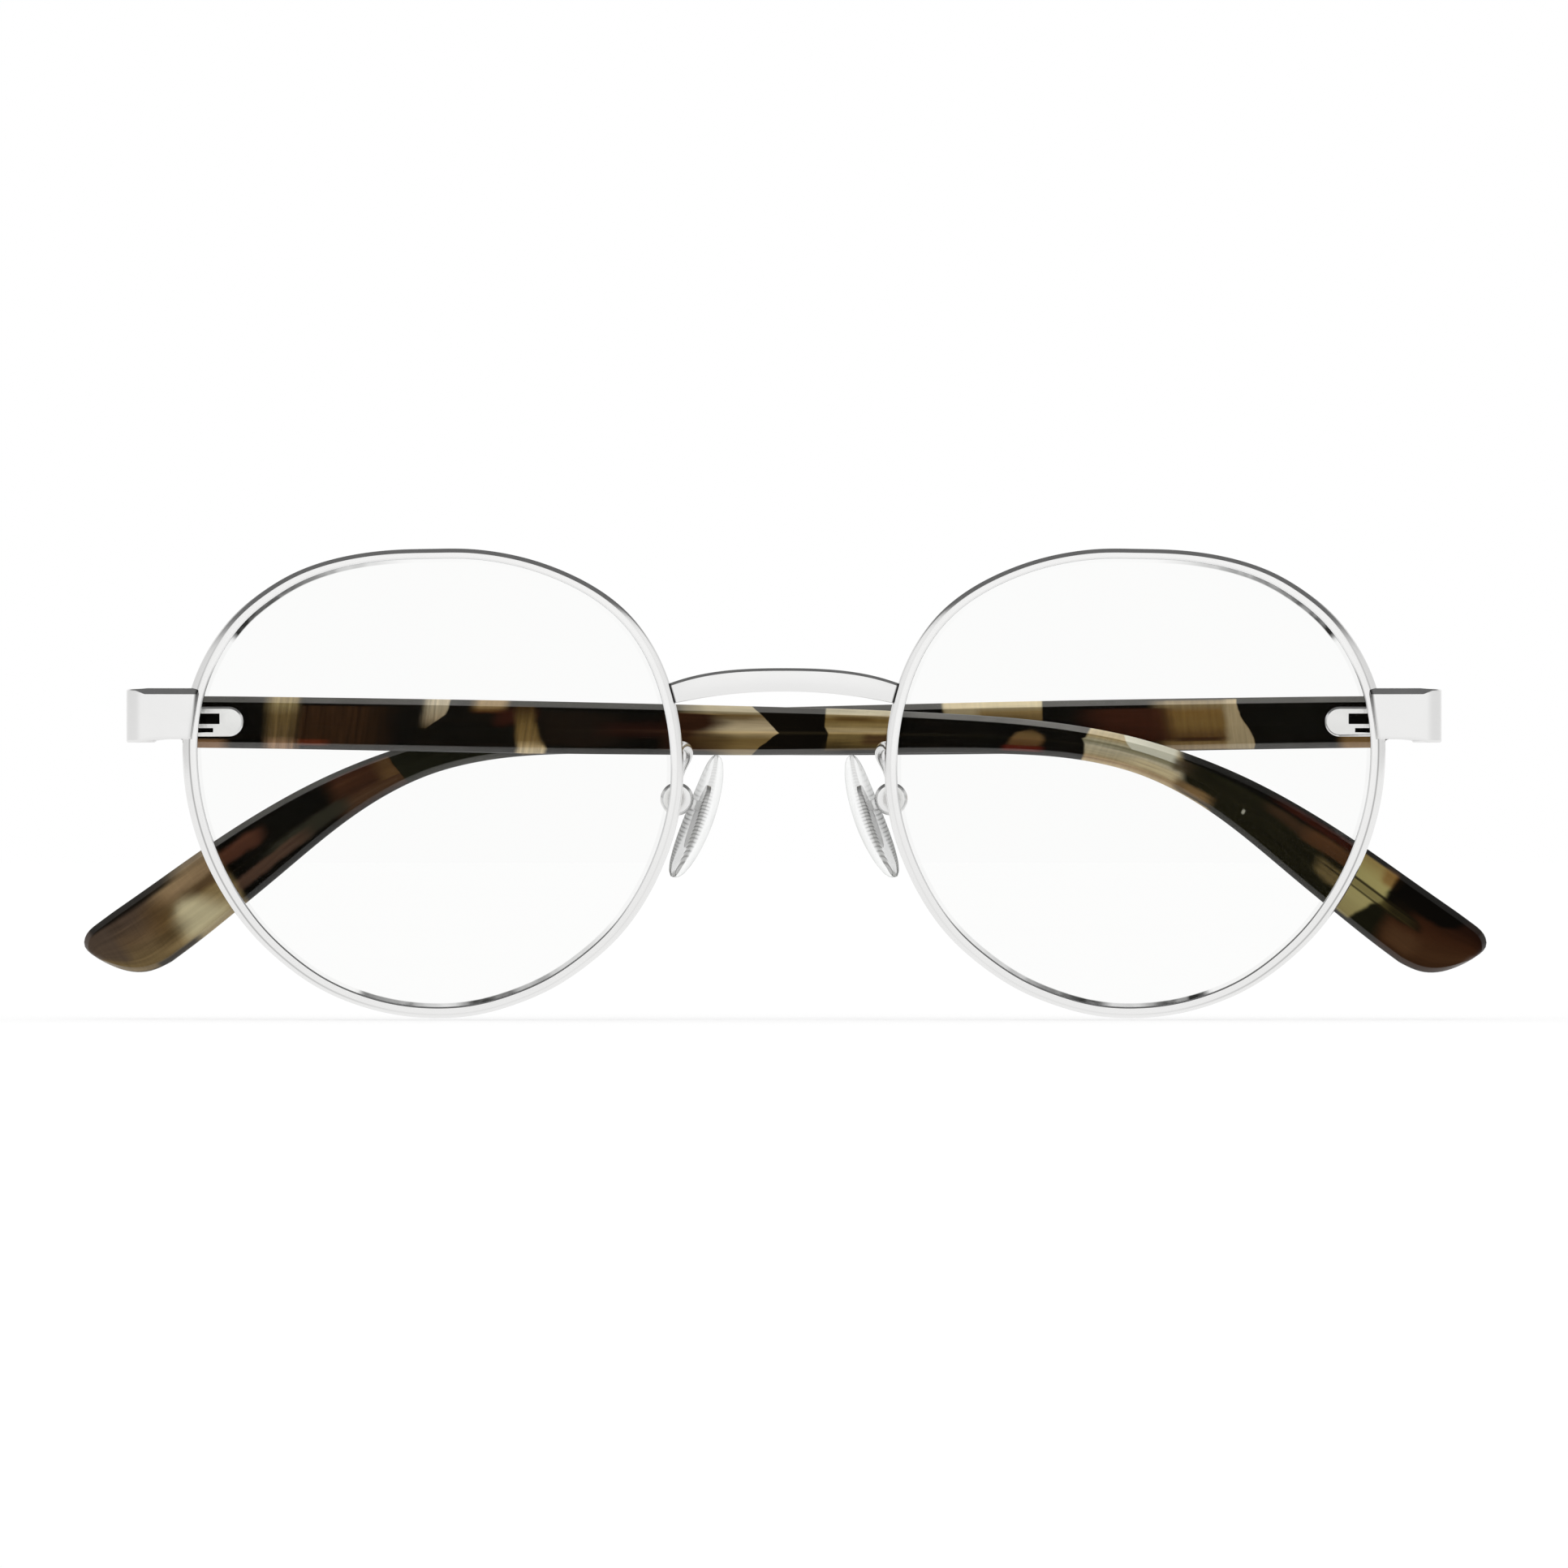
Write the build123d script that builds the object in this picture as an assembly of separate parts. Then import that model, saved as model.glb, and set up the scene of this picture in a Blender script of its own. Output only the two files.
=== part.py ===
from build123d import *
import math
import os

# Round full-rim metal eyeglasses with acetate temples, folded.
# Millimetres. +Z is up, -Y is the front, +X is the wearer's left.
# Origin: middle of the bridge line, at the lenses' mid height, at the foremost plane of the bridge.

# ---------------------------------------------------------------- driving dimensions
BASE_R = 120.0          # radius of the spherical surface the front is formed to
BASE_X = 28.0           # offset of each sphere's centre from the middle plane
RIM_DEPTH = 2.0         # eyewire, front to back
RIM_W_TEMPORAL = 1.55   # eyewire width as seen from the front
RIM_W_NASAL = 1.30
RIM_W_TOP = 1.05
RIM_W_BOTTOM = 1.15
GROOVE_EXTRA = 0.50     # how far the groove goes into the eyewire
GROOVE_FRONT = 0.70     # groove's front wall, back from the eyewire's front
GROOVE_WIDE = 0.60
RIM_SPLIT = 0.10        # saw cut that opens the eyewire
SPLIT_Z = 7.20

LENS_GAP = 0.04
LENS_INSET = 0.35       # lens front, back from the eyewire's front
LENS_THICK = 1.80
RIDGE_EXTRA = 0.45
RIDGE_FRONT = 0.75
RIDGE_WIDE = 0.50

BRIDGE_R = 49.0         # bridge's bow, seen from above
BRIDGE_DEPTH = 2.0

END_X = 67.60           # outer face of the endpiece
END_FRONT_Y = 4.40
END_PLATE = 2.40        # endpiece, front to back, beside the eyewire
END_TOP_Z = 9.80
END_BOTTOM_Z = 4.55
ARM_BOTTOM_Z = 4.20
ARM_THICK = 2.70
END_CORNER_R = 1.90
END_BEVEL = 0.60

HINGE_X = 63.30         # hinge axis
HINGE_Y = 12.80
KNUCKLE_R = 1.20
HINGE_BORE_R = 0.65
HINGE_SCREW_R = 0.60
HINGE_TOP_Z = 7.90
HINGE_BOTTOM_Z = 4.83
TEMPLE_KNUCKLES = ((7.25, 7.90), (5.75, 6.15), (4.83, 5.25))
FRONT_KNUCKLES = ((6.18, 7.22), (5.28, 5.72))
PLATE_THICK = 0.90
PLATE_SINK = 0.40
PLATE_START = 1.75
PLATE_END = 7.60
PLATE_SLOTS = ((6.12, 7.20, 5.13), (5.27, 5.70, 4.47))   # from height, to height, length from the axis

TEMPLE_OFFSET = 1.30    # hinge axis to the temple's inner face
TEMPLE_START = 0.40     # hinge axis to the temple's butt end
HEEL_S, HEEL_Z = 1.60, 4.75   # cut-away lower corner of the butt end
TEMPLE_THICK = 3.00
TEMPLE_TIP_THICK = 2.50
TAPER_FROM = 55.0
TAPER_TO = 100.0
TEMPLE_BEVEL = 0.45
CORE_R = 0.60
FOLD_RIGHT = -1.60      # degrees from square, wearer's right temple lies inside
FOLD_LEFT = -1.40       # wearer's left temple lies outside

PAD_LONG = 13.4
PAD_WIDE = 7.6
PAD_THICK = 2.1
PAD_TILT = 20.0         # lean of the pad in the front view
PAD_SPLAY = 11.0        # turn of the pad's face towards the back
PAD_C = (9.55, 7.9, -3.2)
PAD_PIVOT = (11.05, 7.9, -1.6)
PAD_BOX_R = 1.7
PAD_BOX_WALL = 1.12      # screw axis to the box wall inner face
PAD_SCREW_R = 0.40
PAD_TAB_BORE_R = 0.45
PAD_ARM_R = 0.50

# Outer edge of one eyewire, (x, z), drawn for the wearer's left side.
RIM_OUTLINE = [
    (35.9, 24.1), (39.8, 24.0), (43.6, 23.6), (47.2, 22.8), (50.6, 21.5), (53.6, 19.7),
    (56.5, 17.3), (58.9, 14.2), (60.6, 10.7), (61.6, 6.8), (61.8, 2.7), (61.4, -1.4),
    (60.5, -5.1), (59.1, -8.7), (57.2, -12.1), (54.8, -15.3), (51.7, -18.3), (48.2, -20.8),
    (44.3, -22.6), (40.2, -23.7), (36.0, -24.1), (31.7, -23.8), (27.6, -22.7), (23.7, -21.0),
    (20.1, -18.6), (17.0, -15.8), (14.5, -12.5), (12.6, -8.9), (11.2, -5.0), (10.45, -1.1),
    (10.35, 2.8), (10.85, 6.9), (11.95, 10.9), (13.6, 14.4), (16.0, 17.5), (19.0, 19.9),
    (22.4, 21.7), (26.0, 23.0), (29.7, 23.8), (32.8, 24.1),
]

# Upper and lower edges of one temple, (distance from the hinge axis, height).
TEMPLE_TOP = [
    (TEMPLE_START, 9.00), (4.5, 8.99), (12.0, 8.91), (20.3, 8.79), (30.7, 8.62), (41.1, 8.41),
    (52.0, 8.15), (63.3, 7.86), (70.3, 7.64), (76.1, 7.40), (82.8, 7.04), (87.0, 6.73),
    (91.1, 6.28), (95.3, 5.63), (99.5, 4.72), (103.6, 3.50), (107.8, 1.95), (112.0, 0.06),
    (116.1, -2.15), (120.3, -4.72), (124.5, -7.55), (128.6, -10.45), (132.6, -13.25),
]
TEMPLE_TIP = [
    (132.6, -13.25), (134.3, -14.5), (135.4, -15.6), (135.6, -16.7), (134.6, -17.8),
    (132.8, -18.8), (130.9, -19.4), (129.0, -19.4), (126.6, -18.4),
]
TEMPLE_BOTTOM = [
    (126.6, -18.4), (123.6, -16.15), (120.3, -13.5), (116.1, -10.05), (112.0, -6.6),
    (107.8, -3.35), (103.6, -0.75), (99.5, 1.05), (95.3, 2.15), (91.1, 2.75), (87.0, 3.0),
    (82.8, 3.10), (76.1, 3.10), (70.3, 3.02), (63.3, 2.92), (52.0, 2.94), (41.1, 3.04),
    (30.7, 3.20), (20.3, 3.40), (12.0, 3.55), (4.5, 3.65), (HEEL_S, 3.67),
]
CORE_LINE = [
    (TEMPLE_START - 0.01, 6.34), (20.3, 6.09), (41.1, 5.72), (63.3, 5.38), (82.8, 5.05),
    (91.1, 4.50), (99.5, 2.90), (107.8, -0.70), (116.1, -6.10), (122.4, -10.95), (127.6, -14.9),
]

os.makedirs("parts", exist_ok=True)


# ---------------------------------------------------------------- helpers
def block(x0, x1, y0, y1, z0, z1):
    return Pos((x0 + x1) / 2, (y0 + y1) / 2, (z0 + z1) / 2) * Box(
        abs(x1 - x0), abs(y1 - y0), abs(z1 - z0)
    )


def rod_z(x, y, z0, z1, r):
    return Pos(x, y, (z0 + z1) / 2) * Cylinder(r, abs(z1 - z0))


def rod_y(x, z, y0, y1, r):
    return Pos(x, (y0 + y1) / 2, z) * Rot(90, 0, 0) * Cylinder(r, abs(y1 - y0))


def one(shape):
    """The shape as a single solid, or a compound when it really has several."""
    solids = shape.solids()
    return solids[0] if len(solids) == 1 else Compound(children=list(solids))


def offset_outline(amount_at):
    """The eyewire outline moved inwards by amount_at(nx, nz) at each point, along its normal."""
    n = len(RIM_OUTLINE)
    out = []
    for i, (x, z) in enumerate(RIM_OUTLINE):
        xa, za = RIM_OUTLINE[i - 1]
        xb, zb = RIM_OUTLINE[(i + 1) % n]
        tx, tz = xb - xa, zb - za
        length = math.hypot(tx, tz)
        nx, nz = tz / length, -tx / length
        cx, cz = 36.0 - x, -z
        if nx * cx + nz * cz < 0:
            nx, nz = -nx, -nz
        w = amount_at(-nx, -nz)
        out.append((x + nx * w, z + nz * w))
    return out


def rim_width(ox, oz):
    """Eyewire width where the outward direction is (ox, oz)."""
    side = RIM_W_TEMPORAL if ox > 0 else RIM_W_NASAL
    end = RIM_W_TOP if oz > 0 else RIM_W_BOTTOM
    return side * ox * ox + end * oz * oz


def prism(points, y0=-6.0, y1=16.0):
    edge = Edge.make_spline([Vector(x, y0, z) for x, z in points], periodic=True)
    return Solid.extrude(Face(Wire([edge])), Vector(0, y1 - y0, 0))


def shell(front, thick):
    """The slice of the base sphere from front to front + thick behind its surface."""
    place = Pos(BASE_X, BASE_R, 0)
    return place * Sphere(BASE_R - front) - place * Sphere(BASE_R - front - thick)


def mirrored(shape):
    return mirror(shape, about=Plane.YZ)


def sweep_wire(points, r):
    path = Edge.make_spline([Vector(*p) for p in points])
    start = Plane(origin=path @ 0, z_dir=path % 0)
    return sweep(start * Circle(r), path=path)


def tube(points, r, steps=10):
    """Round wire along a smooth line, in short straight runs with a ball at each turn."""
    path = Edge.make_spline([Vector(*p) for p in points])
    stops = [path @ (i / steps) for i in range(steps + 1)]
    wire = Pos(*stops[1]) * Sphere(r)
    for p in stops[2:-1]:
        wire += Pos(*p) * Sphere(r)
    for p, q in zip(stops, stops[1:]):
        run = q - p
        wire += Plane(origin=p + run * 0.5, z_dir=run) * Cylinder(r, run.length)
    return wire


def save(shape, node):
    export_step(one(shape), "parts/" + node + ".step")


def both(shape, node):
    """Writes the wearer's left piece as built, and its mirror image as the right one."""
    save(shape, node + "_left")
    save(mirrored(shape), node + "_right")


# ---------------------------------------------------------------- eyewires and lenses
outer = prism(RIM_OUTLINE)
inner_points = offset_outline(rim_width)
inner = prism(inner_points)
groove_points = offset_outline(lambda x, z: rim_width(x, z) - GROOVE_EXTRA)
lens_points = offset_outline(lambda x, z: rim_width(x, z) + LENS_GAP)
ridge_points = offset_outline(lambda x, z: rim_width(x, z) - RIDGE_EXTRA)

eyewire = (outer - inner) & shell(0, RIM_DEPTH)
eyewire -= prism(groove_points) & shell(GROOVE_FRONT, GROOVE_WIDE)
eyewire -= block(59.0, 63.5, 0, 12, SPLIT_Z - RIM_SPLIT / 2, SPLIT_Z + RIM_SPLIT / 2)
both(eyewire, "eyewire")

lens = (prism(lens_points) & shell(LENS_INSET, LENS_THICK)) + (
    prism(ridge_points) & shell(RIDGE_FRONT, RIDGE_WIDE)
)
both(lens, "lens")

# ---------------------------------------------------------------- bridge
# An arch in the front view, bowed forwards in the middle.
bridge_top = Edge.make_spline(
    [Vector(x, -6, z) for x, z in ((-13.2, 9.75), (-9.67, 10.85), (-6.33, 11.5), (0, 11.83), (6.33, 11.5), (9.67, 10.85), (13.2, 9.75))]
)
bridge_low = Edge.make_spline(
    [Vector(x, -6, z) for x, z in ((13.2, 7.9), (9.0, 8.68), (6.33, 9.05), (0, 9.42), (-6.33, 9.05), (-9.0, 8.68), (-13.2, 7.9))]
)
bridge_face = Face(
    Wire(
        [
            bridge_top,
            Edge.make_line(bridge_top @ 1, bridge_low @ 0),
            bridge_low,
            Edge.make_line(bridge_low @ 1, bridge_top @ 0),
        ]
    )
)
bow = Pos(0, BRIDGE_R, 0) * (Cylinder(BRIDGE_R, 60) - Cylinder(BRIDGE_R - BRIDGE_DEPTH, 60))
bridge = Solid.extrude(bridge_face, Vector(0, 12, 0)) & bow
bridge = bridge - outer - mirrored(outer)
save(bridge, "bridge")

# ---------------------------------------------------------------- endpieces
plate = block(58.0, END_X, END_FRONT_Y, END_FRONT_Y + END_PLATE, END_BOTTOM_Z, END_TOP_Z)
arm = block(END_X - ARM_THICK, END_X, END_FRONT_Y, HINGE_Y, ARM_BOTTOM_Z, END_TOP_Z)
endpiece = plate + arm
corner = [
    e
    for e in endpiece.edges().filter_by(Axis.Z)
    if abs(e.center().X - END_X) < 0.01 and abs(e.center().Y - END_FRONT_Y) < 0.01
]
endpiece = fillet(corner, END_CORNER_R)
bevel = [
    e
    for e in endpiece.edges()
    if abs(e.center().Z - END_TOP_Z) < 0.01
    and (
        abs(e.center().Y - END_FRONT_Y) < 0.9
        or abs(e.center().X - END_X) < 0.9
    )
    and e.center().X > 60.5
]
endpiece = chamfer(bevel, END_BEVEL)
endpiece = endpiece - outer
both(endpiece, "endpiece")

# ---------------------------------------------------------------- rim locks
LOCK_X0, LOCK_X1 = 60.75, 63.30
LOCK_Y0, LOCK_Y1 = 5.60, 8.90
LOCK_BOTTOM_Z = 5.00
LOCK_SCREW_X, LOCK_SCREW_Y, LOCK_SCREW_R = 62.05, 7.85, 0.50
upper = block(LOCK_X0, LOCK_X1, LOCK_Y0, LOCK_Y1, SPLIT_Z + 0.05, 9.30)
lower = block(LOCK_X0, LOCK_X1, LOCK_Y0, LOCK_Y1, LOCK_BOTTOM_Z, SPLIT_Z - 0.05)
lock_edges = lambda s: [e for e in s.edges().filter_by(Axis.Z) if e.center().Y > LOCK_Y1 - 0.01]
upper = fillet(lock_edges(upper), 0.55)
lower = fillet(lock_edges(lower), 0.55)
lens_space = prism(ridge_points) & shell(0, 6.0)
closing_screw = rod_z(LOCK_SCREW_X, LOCK_SCREW_Y, LOCK_BOTTOM_Z, 8.90, LOCK_SCREW_R)
closing_head = rod_z(LOCK_SCREW_X, LOCK_SCREW_Y, 4.60, LOCK_BOTTOM_Z, 0.80) - block(
    LOCK_SCREW_X - 1, LOCK_SCREW_X + 1, LOCK_SCREW_Y - 0.11, LOCK_SCREW_Y + 0.11, 4.55, 4.77
)
closing_screw = closing_screw + closing_head
solid_ring = (outer - inner) & shell(0, RIM_DEPTH)
upper = upper - solid_ring - endpiece - closing_screw - lens_space
lower = lower - solid_ring - endpiece - closing_screw - lens_space
both(upper, "closing_block_upper")
both(lower, "closing_block_lower")
both(closing_screw, "closing_screw")

# ---------------------------------------------------------------- hinges
def knuckle(z0, z1, bore_r, x1, y_end):
    """One knuckle round the hinge axis with its root running to the plate."""
    body = rod_z(0, 0, z0, z1, KNUCKLE_R) + block(0, x1, min(0, y_end), max(0, y_end), z0, z1)
    return body - rod_z(0, 0, z0 - 1, z1 + 1, bore_r)


# Front half, drawn at the hinge axis, its plate lying on the endpiece arm's inner face.
arm_inner = END_X - ARM_THICK - HINGE_X
front_hinge = block(arm_inner - PLATE_THICK, arm_inner, -5.9, -PLATE_START, HINGE_BOTTOM_Z, HINGE_TOP_Z)
front_hinge = chamfer(
    [e for e in front_hinge.edges() if e.center().Y < -5.8 and abs(e.center().X - arm_inner + PLATE_THICK) < 0.01], 0.4
)
for z0, z1 in FRONT_KNUCKLES:
    front_hinge += knuckle(z0, z1, HINGE_SCREW_R, arm_inner, -2.3)
front_hinge = Pos(HINGE_X, HINGE_Y, 0) * front_hinge
both(front_hinge, "front_hinge")

hinge_screw = rod_z(0, 0, 4.70, HINGE_TOP_Z + 0.03, HINGE_SCREW_R)
hinge_head = rod_z(0, 0, HINGE_TOP_Z + 0.03, HINGE_TOP_Z + 0.50, 1.0)
hinge_head = chamfer([e for e in hinge_head.edges() if e.center().Z > HINGE_TOP_Z + 0.45], 0.12)
hinge_head -= block(-1.1, 1.1, -0.13, 0.13, HINGE_TOP_Z + 0.25, HINGE_TOP_Z + 0.60)
hinge_screw = Pos(HINGE_X, HINGE_Y, 0) * (hinge_screw + hinge_head)
both(hinge_screw, "hinge_screw")

# ---------------------------------------------------------------- temples
# Drawn from the hinge axis along +X with the inner face towards -Y, square to the front.
def temple_piece():
    top = Edge.make_spline([Vector(s, TEMPLE_OFFSET, z) for s, z in TEMPLE_TOP])
    tip = Edge.make_spline(
        [Vector(s, TEMPLE_OFFSET, z) for s, z in TEMPLE_TIP],
        tangents=[top % 1, Vector(-0.80, 0, 0.60)],
    )
    low = Edge.make_spline([Vector(s, TEMPLE_OFFSET, z) for s, z in TEMPLE_BOTTOM])
    corner = Vector(TEMPLE_START, TEMPLE_OFFSET, HEEL_Z)
    heel = Edge.make_line(low @ 1, corner)
    butt = Edge.make_line(corner, top @ 0)
    side = Face(Wire([top, tip, low, heel, butt]))
    body = Solid.extrude(side, Vector(0, TEMPLE_THICK, 0))
    face_y = TEMPLE_OFFSET + TEMPLE_THICK
    thin_y = TEMPLE_OFFSET + TEMPLE_TIP_THICK
    wedge = Face(
        Wire.make_polygon(
            [
                Vector(TAPER_FROM, face_y, -30),
                Vector(TAPER_TO, thin_y, -30),
                Vector(150, thin_y, -30),
                Vector(150, face_y + 2, -30),
                Vector(TAPER_FROM, face_y + 2, -30),
            ],
            close=True,
        )
    )
    body = body - Solid.extrude(wedge, Vector(0, 0, 60))
    inner_edges = [e for e in body.edges() if abs(e.center().Y - TEMPLE_OFFSET) < 0.01]
    return chamfer(inner_edges, TEMPLE_BEVEL)


def temple_plate():
    """The hinge plate set into the temple's inner face, with a rounded end and knuckles."""
    z0, z1 = HINGE_BOTTOM_Z, HINGE_TOP_Z
    half = (z1 - z0) / 2
    y0, y1 = TEMPLE_OFFSET - PLATE_THICK, TEMPLE_OFFSET + PLATE_SINK
    body = block(PLATE_START, PLATE_END - half, y0, y1, z0, z1)
    body += rod_y(PLATE_END - half, (z0 + z1) / 2, y0, y1, half)
    rim = [e for e in body.edges() if abs(e.center().Y - y0) < 0.01 and e.center().X > PLATE_START + 0.1]
    body = chamfer(rim, 0.22)
    for low_z, high_z, reach in PLATE_SLOTS:
        body -= block(0, reach, y0 - 1, y1 + 1, low_z, high_z)
    return body


temple = temple_piece()
hinge_plate = temple_plate()
core = sweep_wire([(s, TEMPLE_OFFSET + 1.30, z) for s, z in CORE_LINE], CORE_R)
core = core & block(TEMPLE_START, 150, -5, 10, -40, 40)
temple = temple - hinge_plate - core

temple_hinge = hinge_plate
for z0, z1 in TEMPLE_KNUCKLES:
    finger = rod_z(0, 0, z0, z1, KNUCKLE_R) + block(
        0, PLATE_START + 0.5, 0, TEMPLE_OFFSET - 0.02, z0, z1
    )
    temple_hinge += finger
for z0, z1 in TEMPLE_KNUCKLES:
    temple_hinge -= rod_z(0, 0, z0 - 0.1, z1 + 0.1, HINGE_BORE_R)


def place_right(shape):
    return Pos(-HINGE_X, HINGE_Y, 0) * (Rot(0, 0, FOLD_RIGHT) * shape)


def place_left(shape):
    return Pos(HINGE_X, HINGE_Y, 0) * (Rot(0, 0, FOLD_LEFT) * mirrored(shape))


for name, shape in (("temple", temple), ("core_wire", core), ("temple_hinge", temple_hinge)):
    save(place_right(shape), name + "_right")
    save(place_left(shape), name + "_left")

# ---------------------------------------------------------------- nose pads (drawn for the wearer's left)
tilt = math.radians(PAD_TILT)
splay = math.radians(PAD_SPLAY)
up = Vector(-math.sin(tilt), 0, math.cos(tilt))
towards_nose = Vector(-math.cos(tilt), 0, -math.sin(tilt))
face_dir = towards_nose * math.cos(splay) + Vector(0, 1, 0) * math.sin(splay)
pad_plane = Plane(origin=Vector(*PAD_C), x_dir=up, z_dir=face_dir)

pad_outline = [
    (6.7, 0.0), (6.1, 1.55), (4.2, 2.65), (1.6, 3.25), (-1.4, 3.75), (-4.2, 3.45), (-6.1, 2.1),
    (-6.7, 0.0), (-6.1, -2.1), (-4.2, -3.45), (-1.4, -3.75), (1.6, -3.25), (4.2, -2.65), (6.1, -1.55),
]
pad_sketch = make_face(Edge.make_spline([Vector(a, b, 0) for a, b in pad_outline], periodic=True))
pad = extrude(pad_plane * pad_sketch, amount=PAD_THICK, dir=face_dir)
pad_dome = Pos(*(pad_plane.origin + face_dir * (PAD_THICK - 21.0))) * Sphere(21.0)
pad = pad & pad_dome
back_edges = [e for e in pad.edges() if abs((e.center() - pad_plane.origin).dot(face_dir)) < 0.3]
pad = chamfer(back_edges, 0.3)

# Insert: an oval plate inside the pad, a stem, and a round tab on the screw.
px, py, pz = PAD_PIVOT
insert = extrude(pad_plane.offset(0.5) * Ellipse(3.4, 1.5), amount=0.45, dir=face_dir)
tab = rod_y(px, pz, py - 0.45, py + 0.45, 0.95)
hub = pad_plane.origin + up * 1.1
foot = hub + face_dir * 0.7
start = Vector(px, py, pz)
axis_dir = foot - start
stem_plane = Plane(origin=start, x_dir=Vector(0, 1, 0), z_dir=axis_dir)
stem = extrude(stem_plane * Rectangle(0.90, 1.0), amount=axis_dir.length, dir=axis_dir)
insert = (insert + stem + tab) - rod_y(px, pz, py - 2, py + 2, PAD_TAB_BORE_R)
pad = pad - insert

# Box: two round cheeks across the screw, joined by a wall above and on the side away from the nose.
cheek_f = rod_y(px - 0.05, pz, py - 1.35, py - 0.50, PAD_BOX_R)
cheek_b = rod_y(px - 0.05, pz, py + 0.50, py + 1.35, PAD_BOX_R)
pad_box = cheek_f + cheek_b
pad_box = chamfer([e for e in pad_box.edges() if abs(abs(e.center().Y - py) - 1.35) < 0.01], 0.3)
wall_room = block(px + PAD_BOX_WALL, px + 4, py - 2, py + 2, pz - 4, pz + 4) + block(
    px - 0.30, px + 4, py - 2, py + 2, pz + PAD_BOX_WALL, pz + 4
)
wall = rod_y(px - 0.05, pz, py - 0.50, py + 0.50, PAD_BOX_R) & wall_room
pad_box = pad_box + wall
clip = pad_plane.offset(-0.35)
keep_away = extrude(clip * Rectangle(30, 30), amount=8, dir=face_dir)
stem_room = extrude(stem_plane * Rectangle(1.10, 2.0), amount=axis_dir.length, dir=axis_dir)
pad_box = pad_box - keep_away - stem_room
pad_screw = rod_y(px, pz, py - 1.35, py + 1.35, PAD_SCREW_R)
pad_head = rod_y(px, pz, py - 1.70, py - 1.35, 0.75) - block(px - 1, px + 1, py - 1.75, py - 1.52, pz - 0.10, pz + 0.10)
pad_screw = pad_screw + pad_head
pad_box = pad_box - rod_y(px, pz, py - 3, py + 3, PAD_SCREW_R)

arm_path = [
    (10.95, 2.6, 3.3), (10.65, 4.0, 3.75), (10.05, 5.6, 3.7), (9.9, 7.1, 2.8),
    (10.5, 7.9, 1.6), (11.1, 7.95, -0.2),
]
pad_arm = tube(arm_path, PAD_ARM_R)
pad_arm = pad_arm - solid_ring - pad_box
arm_solids = sorted(pad_arm.solids(), key=lambda s: s.volume)
pad_arm = arm_solids[-1]

for shape, node in (
    (pad, "nose_pad"),
    (insert, "pad_insert"),
    (pad_box, "pad_box"),
    (pad_screw, "pad_screw"),
    (pad_arm, "pad_arm"),
):
    both(shape, node)
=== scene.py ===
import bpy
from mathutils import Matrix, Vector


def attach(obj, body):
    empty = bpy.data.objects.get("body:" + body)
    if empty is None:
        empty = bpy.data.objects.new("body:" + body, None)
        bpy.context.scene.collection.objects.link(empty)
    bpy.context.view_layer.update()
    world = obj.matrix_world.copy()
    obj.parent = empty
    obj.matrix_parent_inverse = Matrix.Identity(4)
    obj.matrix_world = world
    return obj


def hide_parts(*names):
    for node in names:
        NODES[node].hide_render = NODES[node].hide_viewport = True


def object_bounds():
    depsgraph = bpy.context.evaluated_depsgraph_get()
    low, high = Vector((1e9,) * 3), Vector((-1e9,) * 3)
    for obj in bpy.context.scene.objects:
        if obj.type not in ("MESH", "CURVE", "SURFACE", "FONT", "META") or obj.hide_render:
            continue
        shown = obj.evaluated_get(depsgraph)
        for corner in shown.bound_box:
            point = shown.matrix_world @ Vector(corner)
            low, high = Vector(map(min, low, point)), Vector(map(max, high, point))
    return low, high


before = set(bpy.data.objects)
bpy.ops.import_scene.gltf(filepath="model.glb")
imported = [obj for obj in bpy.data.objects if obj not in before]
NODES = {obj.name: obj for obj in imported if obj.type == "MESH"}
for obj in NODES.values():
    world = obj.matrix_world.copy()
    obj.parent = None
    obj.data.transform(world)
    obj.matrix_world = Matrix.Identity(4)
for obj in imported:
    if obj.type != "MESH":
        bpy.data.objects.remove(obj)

import math

import bpy
import numpy as np
from mathutils import Vector

lo0, hi0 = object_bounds()
MM = 0.001

# ------------------------------------------------------------------ curves
def cubic(points, closed=False):
    """Second derivatives and knots of a cubic curve through the points, by chord length."""
    p = np.array(points, float)
    if closed:
        p = np.vstack([p, p[:1]])
    t = np.r_[0.0, np.cumsum(np.linalg.norm(np.diff(p, axis=0), axis=1))]
    n = len(p)
    h = np.diff(t)
    a = np.zeros((n, n))
    b = np.zeros((n, p.shape[1]))
    for i in range(1, n - 1):
        a[i, i - 1], a[i, i], a[i, i + 1] = h[i - 1], 2 * (h[i - 1] + h[i]), h[i]
        b[i] = 6 * ((p[i + 1] - p[i]) / h[i] - (p[i] - p[i - 1]) / h[i - 1])
    if closed:
        a[0, 0], a[0, 1], a[0, n - 2] = 2 * (h[-1] + h[0]), h[0], h[-1]
        b[0] = 6 * ((p[1] - p[0]) / h[0] - (p[-1] - p[-2]) / h[-1])
        a[-1, -1], a[-1, 0] = 1, -1
    else:
        a[0, 0] = a[-1, -1] = 1
    return p, t, h, np.linalg.solve(a, b)


def curve(points, n, closed=False):
    p, t, h, m = cubic(points, closed)
    u = np.linspace(0, t[-1], n, endpoint=not closed)
    k = np.clip(np.searchsorted(t, u, side="right") - 1, 0, len(h) - 1)
    d = u - t[k]
    e = t[k + 1] - u
    hk = h[k][:, None]
    d, e = d[:, None], e[:, None]
    return (
        m[k] * e**3 / (6 * hk)
        + m[k + 1] * d**3 / (6 * hk)
        + (p[k] / hk - m[k] * hk / 6) * e
        + (p[k + 1] / hk - m[k + 1] * hk / 6) * d
    )


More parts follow.
